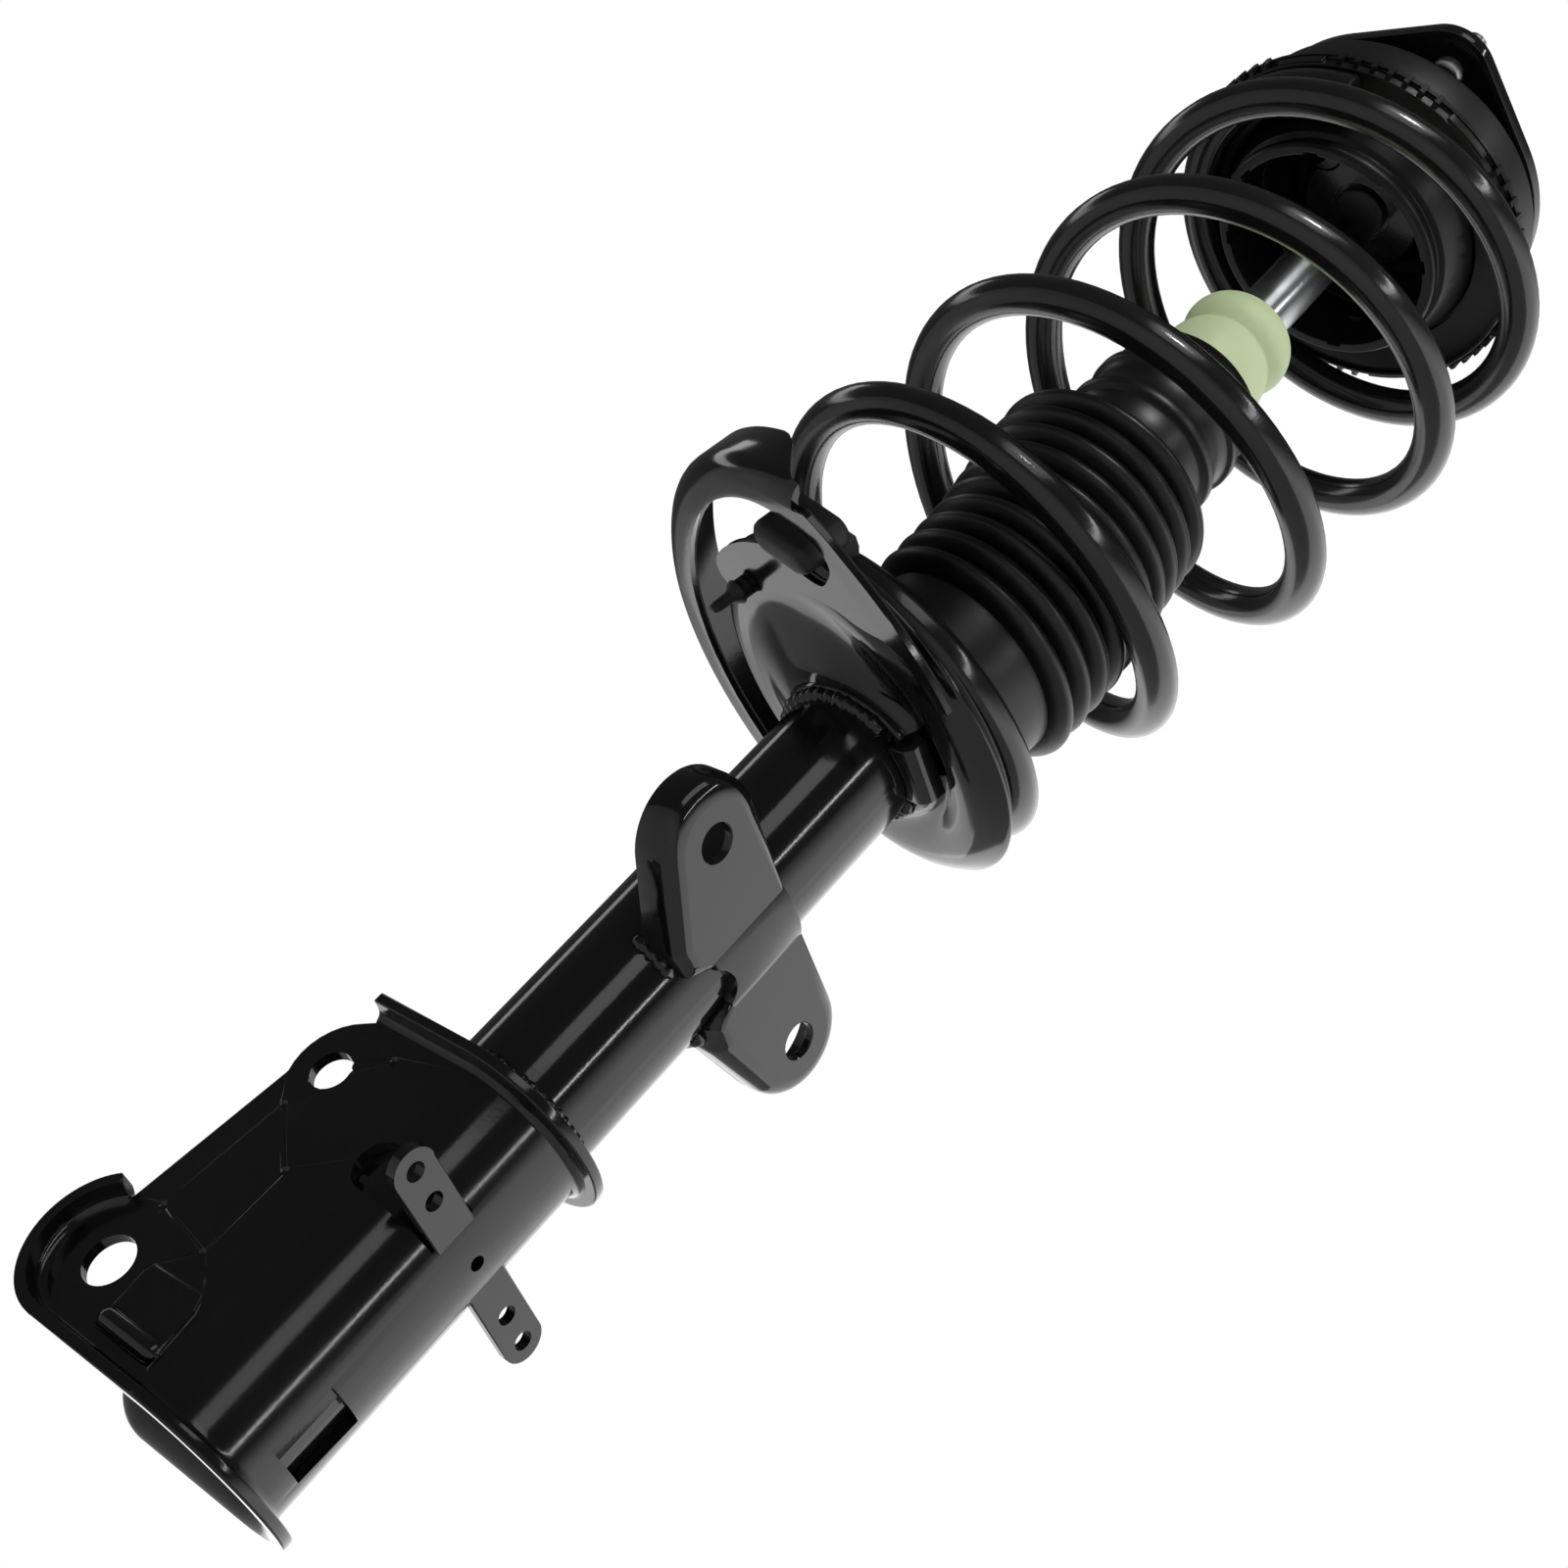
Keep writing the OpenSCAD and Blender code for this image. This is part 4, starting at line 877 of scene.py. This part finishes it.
make_seat()
make_guard()
make_lower_pad()


# ---------------------------------------------------------------- sway bar bracket

Z_SWAY = -457.5
SWAY_SPACING = 95.0
SWAY_HOLE_R = 6.5
SWAY_FACE = TUBE_R + 2.1
SWAY_HALF = SWAY_SPACING / 2
SWAY_T = 3.4
SWAY_BEND = 7.0
SWAY_DEPTH = 14.5
EAR_R = 21


def sway_ear_loop():
    """One ear's outline, seen along X, counter-clockwise: its round end, its root and its foot."""
    round_end = [Vector((SWAY_HALF + EAR_R * math.cos(a), EAR_R * math.sin(a)))
                 for a in (math.radians(mixed(-71, 94, k / 30)) for k in range(31))]
    root = [(8, 17.8, 0), (8, -19, 0), (12, -28.6, 3), (23, -30.2, 9)]
    start, end = round_end[0], round_end[-1]
    return round_end + rounded_path([(end.x, end.y, 0), *root, (start.x, start.y, 0)])[1:-1]


def flange_depth(y):
    """How far the ear's flange reaches back: to the tube's wall near it, and its full depth beyond."""
    wall = SWAY_FACE - math.sqrt(max(0.0, (TUBE_R - 0.3) ** 2 - y * y))
    return min(SWAY_DEPTH, max(3.6, wall))


def outside_bend(a):
    """A layer on the outer side of the flange's bend, at the angle a from the flange."""
    return lambda depth, bend: (bend * (1 - math.cos(a)), bend * (1 - math.sin(a)))


def inside_bend(a):
    """The same on the inner side, a sheet's thickness in."""
    return lambda depth, bend: (SWAY_T + max(0.3, bend - SWAY_T) * (1 - math.cos(a)),
                                min(depth - 0.25, SWAY_T + max(0, bend - SWAY_T) * (1 - math.sin(a))))


def flange_layers():
    """The flange's section from its outer lip to its face, and from behind the face to its inner lip.

    Each layer gives (inset from the outline, depth) for a flange's depth and bend radius.
    """
    arc = [math.radians(15 * k) for k in range(1, 7)]
    outer = [lambda d, b: (0.5, d), lambda d, b: (0.12, d - 0.2), lambda d, b: (0, d - 0.6),
             lambda d, b: (0, b)]
    outer += [outside_bend(a) for a in arc]
    inner = [inside_bend(a) for a in reversed(arc)]
    inner += [lambda d, b: (SWAY_T, max(min(d - 0.2, b), d - 0.6)), lambda d, b: (SWAY_T - 0.12, d - 0.2),
              lambda d, b: (SWAY_T - 0.5, d)]
    return outer, inner


def ear_shell():
    """One ear as points (y, z, depth behind its face) and faces."""
    hole_sides = 40
    chamfer = 0.4
    loop = sway_ear_loop()
    count = len(loop)
    depths = [flange_depth(p.x) for p in loop]
    bends = [min(SWAY_BEND, d - 0.7) for d in depths]
    outer, inner = flange_layers()
    front = len(outer) - 1
    points = []
    for layer in outer + inner:
        for i, p in enumerate(loop):
            inset, depth = layer(depths[i], bends[i])
            along = (loop[(i + 1) % count] - loop[i - 1]).normalized()
            points.append((p.x - along.y * inset, p.y + along.x * inset, depth))
    faces = [f for f in ring_faces(len(outer + inner), count, closed=True)
             if not front * count <= f[0] < (front + 1) * count]

    rims = []
    for widen, depth in ((chamfer, 0), (0, chamfer), (0, SWAY_T - chamfer), (chamfer, SWAY_T)):
        rims.append(len(points))
        r = SWAY_HOLE_R + widen
        points += [(SWAY_HALF + r * math.cos(a), r * math.sin(a), depth) for a in around(hole_sides)]
    for a, b in zip(rims, rims[1:]):
        for i in range(hole_sides):
            n = (i + 1) % hole_sides
            faces.append((a + i, a + n, b + n, b + i))
    for first, rim in ((front * count, rims[0]), ((front + 1) * count, rims[3])):
        edge = [Vector((*points[first + i][:2], 0)) for i in range(count)]
        hole = [Vector((*points[rim + i][:2], 0)) for i in range(hole_sides)]
        for tri in tessellate_polygon([edge, hole]):
            faces.append(tuple(first + i if i < count else rim + i - count for i in tri))
    return points, faces


def saddle_shell():
    """The band that joins the ears and grips the tube's back, with a notch in its lower edge."""
    low, top = -18.5, 17.5
    notch_r, notch_half = 10.0, 8
    r_in, r_out = TUBE_R + 0.05, TUBE_R + 4.1
    corner, nearly = 1.0, 0.3
    steps = 72
    points = []
    for a in (math.radians(mixed(117, 243, k / steps)) for k in range(steps + 1)):
        y = r_out * math.sin(a)
        foot = low
        if abs(y) < notch_half:
            foot = max(low, low - 6 + math.sqrt(notch_r ** 2 - y * y))
        section = ((r_in, foot), (r_out - corner, foot), (r_out - nearly, foot + nearly),
                   (r_out, foot + corner), (r_out, top - corner), (r_out - nearly, top - nearly),
                   (r_out - corner, top), (r_in, top))
        points += [Vector((r * math.cos(a), r * math.sin(a), Z_SWAY + z)) for r, z in section]
    return points, capped_faces(steps + 1, 8)


def make_sway_bracket():
    """Two pressed ears with deep rounded flanges, joined by a saddle that grips the tube."""
    verts, faces = [], []
    ear, ear_faces = ear_shell()
    for side in (1, -1):
        points = [Vector((-SWAY_FACE + depth, side * y, Z_SWAY + z)) for y, z, depth in ear]
        merge_shell(verts, faces, points, ear_faces)
    merge_shell(verts, faces, *saddle_shell())
    bracket = add_piece("sway_bracket_pressing", verts, faces, PAINT, "damper")
    settle(bracket)
    flat = [abs(p.normal.x) > 0.9999 for p in bracket.data.polygons]
    bracket.data.polygons.foreach_set("use_smooth", [not f for f in flat])
    sharpen(bracket, 38)
    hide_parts("sway_bracket")


# ---------------------------------------------------------------- welds

Z_COLLAR_WELD = Z_NECK - 15.4
Z_BRACKET_WELD = -544.5


def bead(path, radius, ripple, phase):
    """One weld run: a tube along the path whose thickness comes and goes with each puddle."""
    sides = 14
    last = len(path) - 1
    points = []
    for i, centre in enumerate(path):
        along = (path[min(i + 1, last)] - path[max(i - 1, 0)]).normalized()
        taper = math.sqrt(max(0.02, min(1.0, i / 4, (last - i) / 4)))
        swell = 1 + ripple * math.sin(i * 1.25 + phase) + 0.5 * ripple * math.sin(i * 0.37 + 2 * phase)
        points += wire_ring(centre, along, radius * swell * taper, sides)
    return points, capped_faces(len(path), sides)


def tube_path(from_deg, to_deg, z_of):
    """Points on the tube's wall from one azimuth to another; z_of gives the height for 0 to 1."""
    degrees_per_step = 1.6
    count = max(6, round(abs(to_deg - from_deg) / degrees_per_step))
    path = []
    for u in (i / count for i in range(count + 1)):
        a = math.radians(mixed(from_deg, to_deg, u))
        path.append(Vector((TUBE_R * math.cos(a), TUBE_R * math.sin(a), z_of(u))))
    return path


def make_welds():
    """The runs round the seat's collar, the knuckle bracket's top and the sway bracket's feet."""
    foot = Z_SWAY - 30.4
    crown = Z_SWAY + 19.2
    runs = [bead(tube_path(212, 500, lambda u: Z_COLLAR_WELD + 0.8 * math.sin(9 * u)), 3.0, 0.16, 0.4),
            bead(tube_path(0, 358, lambda u: Z_BRACKET_WELD), 2.3, 0.14, 1.9)]
    for side in (1, -1):
        under = tube_path(180 - side * 32, 180 - side * 72, lambda u: foot + 1.5 * u)
        above = tube_path(180 - side * 40, 180 - side * 66, lambda u: crown)
        runs += [bead(under, 2.6, 0.2, 3.1), bead(above, 2.2, 0.18, 5.2)]
    verts, faces = [], []
    for points, run_faces in runs:
        merge_shell(verts, faces, points, run_faces)
    welds = add_piece("weld_runs", verts, faces, PAINT, "damper")
    settle(welds)
    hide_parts("weld_beads")


make_sway_bracket()
make_welds()


# ---------------------------------------------------------------- pressed and moulded pieces with eased edges

# Edges steeper than STEEP are rounded, and facets that meet flatter than FLAT become one.
STEEP = math.radians(28)
FLAT = math.radians(0.35)


def soften(name, body, slot, width, weld, shortest):
    """A copy of a CAD piece with flat facets merged and sharp edges rounded; sizes in millimetres.

    Points nearer than weld become one, and edges shorter than shortest stay sharp.
    """
    source = NODES[name]
    shape = bmesh.new()
    shape.from_mesh(source.data)
    bmesh.ops.remove_doubles(shape, verts=shape.verts, dist=weld * MM)
    bmesh.ops.dissolve_limit(shape, angle_limit=FLAT, use_dissolve_boundaries=False,
                             verts=shape.verts, edges=shape.edges)
    weight = shape.edges.layers.float.new("bevel_weight_edge")
    for edge in shape.edges:
        steep = len(edge.link_faces) == 2 and edge.calc_face_angle() > STEEP
        edge[weight] = 1.0 if steep and edge.calc_length() > shortest * MM else 0.0
    mesh = bpy.data.meshes.new(name + "_eased")
    shape.to_mesh(mesh)
    shape.free()
    mesh.materials.append(source.data.materials[0])
    piece = bpy.data.objects.new(name + "_eased", mesh)
    piece.matrix_world = source.matrix_world.copy()
    bpy.context.scene.collection.objects.link(piece)
    bevel = piece.modifiers.new("eased", "BEVEL")
    bevel.width = width * MM
    bevel.segments = 3
    bevel.limit_method = "WEIGHT"
    bevel.use_clamp_overlap = False
    bevel.miter_outer = "MITER_ARC"
    bpy.context.view_layer.update()
    eased = bpy.data.meshes.new_from_object(piece.evaluated_get(bpy.context.evaluated_depsgraph_get()))
    piece.modifiers.clear()
    piece.data = eased
    level = [max(abs(c) for c in p.normal) > 0.9999 for p in eased.polygons]
    eased.polygons.foreach_set("use_smooth", [not f for f in level])
    sharpen(piece, 40)
    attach(piece, body)
    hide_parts(name)


EASED = (
    # node, body, slot, edge radius, weld, shortest edge
    ("knuckle_bracket", "damper", "gloss_black_paint", 0.6, 0.25, 2.2),
    ("seat_gusset", "damper", "gloss_black_paint", 0.6, 0.3, 0.8),
    ("mount_plate", "mount", "gloss_black_paint", 0.5, 0.3, 0.8),
    ("mount_cup", "mount", "gloss_black_paint", 0.5, 0.3, 0.8),
    ("bearing_cover", "mount", "satin_plastic", 0.4, 0.3, 0.8),
    ("upper_spring_seat", "spring_seat", "satin_plastic", 0.4, 0.3, 0.8),
    ("strut_tube", "damper", "gloss_black_paint", 0.5, 0.3, 0.8),
)
for row in EASED:
    soften(*row)


# ---------------------------------------------------------------- rib row round the upper seat's rim

RIM_R = 73.7
Z_RIM_TOP = -33.3
Z_RIM_FOOT = -34.7
RIB_OUT = 75.0
Z_RIB_FOOT = -38.9
RIB_COUNT = 66
RIB_SHARE = 0.34
CLIPS = 6
CLIP_AZIMUTH = 20
CLIP_HALF_ANGLE = 8


def make_rib_row():
    """A ring of short ribs under the cover's edge, broken where the clips are."""
    web = [(RIM_R, Z_RIM_FOOT - 0.6), (RIM_R + 0.4, Z_RIM_FOOT - 0.6), (RIM_R + 0.4, Z_RIM_TOP - 0.1),
           (RIM_R + 0.1, Z_RIM_TOP - 0.1), (RIM_R + 0.05, Z_RIM_FOOT + 0.5), (RIM_R, Z_RIM_FOOT)]
    rib = [(RIM_R - 1.4, Z_RIB_FOOT), (RIB_OUT, Z_RIB_FOOT + 0.4), (RIB_OUT, Z_RIM_TOP),
           (RIM_R + 0.1, Z_RIM_TOP), (RIM_R + 0.05, Z_RIM_FOOT), (RIM_R - 1.4, Z_RIM_FOOT)]
    step = 360 / RIB_COUNT
    width = step * RIB_SHARE
    flank = 0.12
    verts = []
    for start in (i * step for i in range(RIB_COUNT)):
        off_clip = (start - CLIP_AZIMUTH + 180 / CLIPS) % (360 / CLIPS) - 180 / CLIPS
        section = web if abs(off_clip) < CLIP_HALF_ANGLE + width else rib
        for turn, outline in ((0, web), (flank, section), (width - flank, section), (width, web)):
            a = math.radians(start + turn)
            verts += [(r * math.cos(a), r * math.sin(a), z) for r, z in outline]
    ribs = add_piece("rib_row", verts, ring_faces(4 * RIB_COUNT, len(web), closed=True),
                     SEAT_PLASTIC, "spring_seat")
    sharpen(ribs, 30)


make_rib_row()


# ---------------------------------------------------------------- camera, light, floor

CAMERA_PLACE = Vector((-441.3, 492.8, -731.3)) * MM
CAMERA_RIGHT = Vector((-0.7417, -0.2651, 0.6160))
CAMERA_UP = Vector((0.2864, 0.7052, 0.6485))
CAMERA_LOOK = Vector((0.6065, -0.6576, 0.4472))
SPRING_MIDDLE = Vector((0, 0, -0.32))
STOP_MIDDLE = Vector((0, 0, -0.16))
WHITE = (1, 1, 1, 1)


def place_camera():
    """A camera with a normal lens, looking up at the strut from below its knuckle bracket."""
    data = bpy.data.cameras.new("view")
    data.lens = 50.625
    data.sensor_width = 36
    data.clip_start = 0.01
    camera = bpy.data.objects.new("view", data)
    turn = Matrix((CAMERA_RIGHT, CAMERA_UP, -CAMERA_LOOK)).transposed()
    camera.matrix_world = Matrix.Translation(CAMERA_PLACE) @ turn.to_4x4()
    bpy.context.scene.collection.objects.link(camera)
    bpy.context.scene.camera = camera


def by_view(right, up, back):
    """A direction put together from the view's own."""
    return CAMERA_RIGHT * right + CAMERA_UP * up - CAMERA_LOOK * back


def hang_light(data, spot, toward):
    """A light at a spot, shining against the direction toward."""
    light = bpy.data.objects.new(data.name, data)
    light.matrix_world = Matrix.Translation(spot) @ toward.to_track_quat("Z", "Y").to_matrix().to_4x4()
    bpy.context.scene.collection.objects.link(light)


def softbox(name, offset, width, height, watts):
    """An area light at an offset from the spring's middle, in metres, facing it."""
    data = bpy.data.lights.new(name, "AREA")
    data.shape = "RECTANGLE"
    data.size = width
    data.size_y = height
    data.energy = watts
    hang_light(data, SPRING_MIDDLE + offset, offset)


def snoot(name, aim, direction, distance, cone, watts):
    """A spot light narrowed to a few degrees, for one pale piece among black ones."""
    data = bpy.data.lights.new(name, "SPOT")
    data.energy = watts
    data.spot_size = math.radians(cone)
    data.spot_blend = 0.6
    data.shadow_soft_size = 0.12
    toward = direction.normalized()
    hang_light(data, aim + toward * distance, toward)


def make_room():
    """White to the camera; reflections meet a bright table side and a dark room."""
    world = bpy.data.worlds.new("studio")
    bpy.context.scene.world = world
    world.use_nodes = True
    room = NodeTree(world.node_tree)
    table_side = by_view(0.35, -0.9, -0.25).normalized()
    place = room.node("ShaderNodeTexCoord", out="Generated")
    facing = room.node("ShaderNodeVectorMath", out="Value", settings={"operation": "DOT_PRODUCT"},
                       sockets={0: place, 1: table_side})
    share = room.node("ShaderNodeMapRange", sockets={"Value": facing, "From Min": -1})
    glow = room.ramp(share, (0.40, 0.055), (0.57, 0.06), (0.76, 1.0))
    reflected = room.node("ShaderNodeBackground", sockets={"Color": glow, "Strength": 1.5})
    seen = room.node("ShaderNodeBackground", sockets={"Color": WHITE, "Strength": 1.0})
    direct = room.node("ShaderNodeLightPath", out="Is Camera Ray")
    chosen = room.node("ShaderNodeMixShader", sockets={0: direct, 1: reflected, 2: seen})
    room.node("ShaderNodeOutputWorld", sockets={"Surface": chosen})


def light_studio():
    """Soft boxes beside, over, behind and under the object, and a snoot on the bump stop."""
    make_room()
    softbox("strip_right", by_view(1.25, 0.43, 0.80), 0.05, 1.9, 4.0)
    softbox("box_over", by_view(0.50, 1.15, 0.85), 0.55, 1.5, 3.4)
    softbox("edge_left", by_view(-1.1, 0.9, -0.9), 0.25, 1.5, 2)
    softbox("glow_under", by_view(-0.85, -0.9, -0.95), 0.9, 0.9, 2.4)
    snoot("stop_key", STOP_MIDDLE, by_view(0.33, 0.76, 0.56), 1.6, 5.0, 130)
    bpy.context.scene.view_settings.view_transform = "Standard"


def lay_floor():
    """A pale floor, some way under the object, which stands free of it."""
    half = 3.0
    drop = 0.35
    z = cad_box[0][2] - drop
    corners = [(-half, -half, z), (half, -half, z), (half, half, z), (-half, half, z)]
    mesh = bpy.data.meshes.new("floor")
    mesh.from_pydata(corners, [], [(0, 1, 2, 3)])
    floor = bpy.data.objects.new("floor", mesh)
    bpy.context.scene.collection.objects.link(floor)
    f = Finish("pale_floor")
    mesh.materials.append(f.done(Base_Color=f.mix(f.noise(3, 3), grey(0.80), grey(0.86)), Roughness=0.7))


place_camera()
light_studio()
lay_floor()
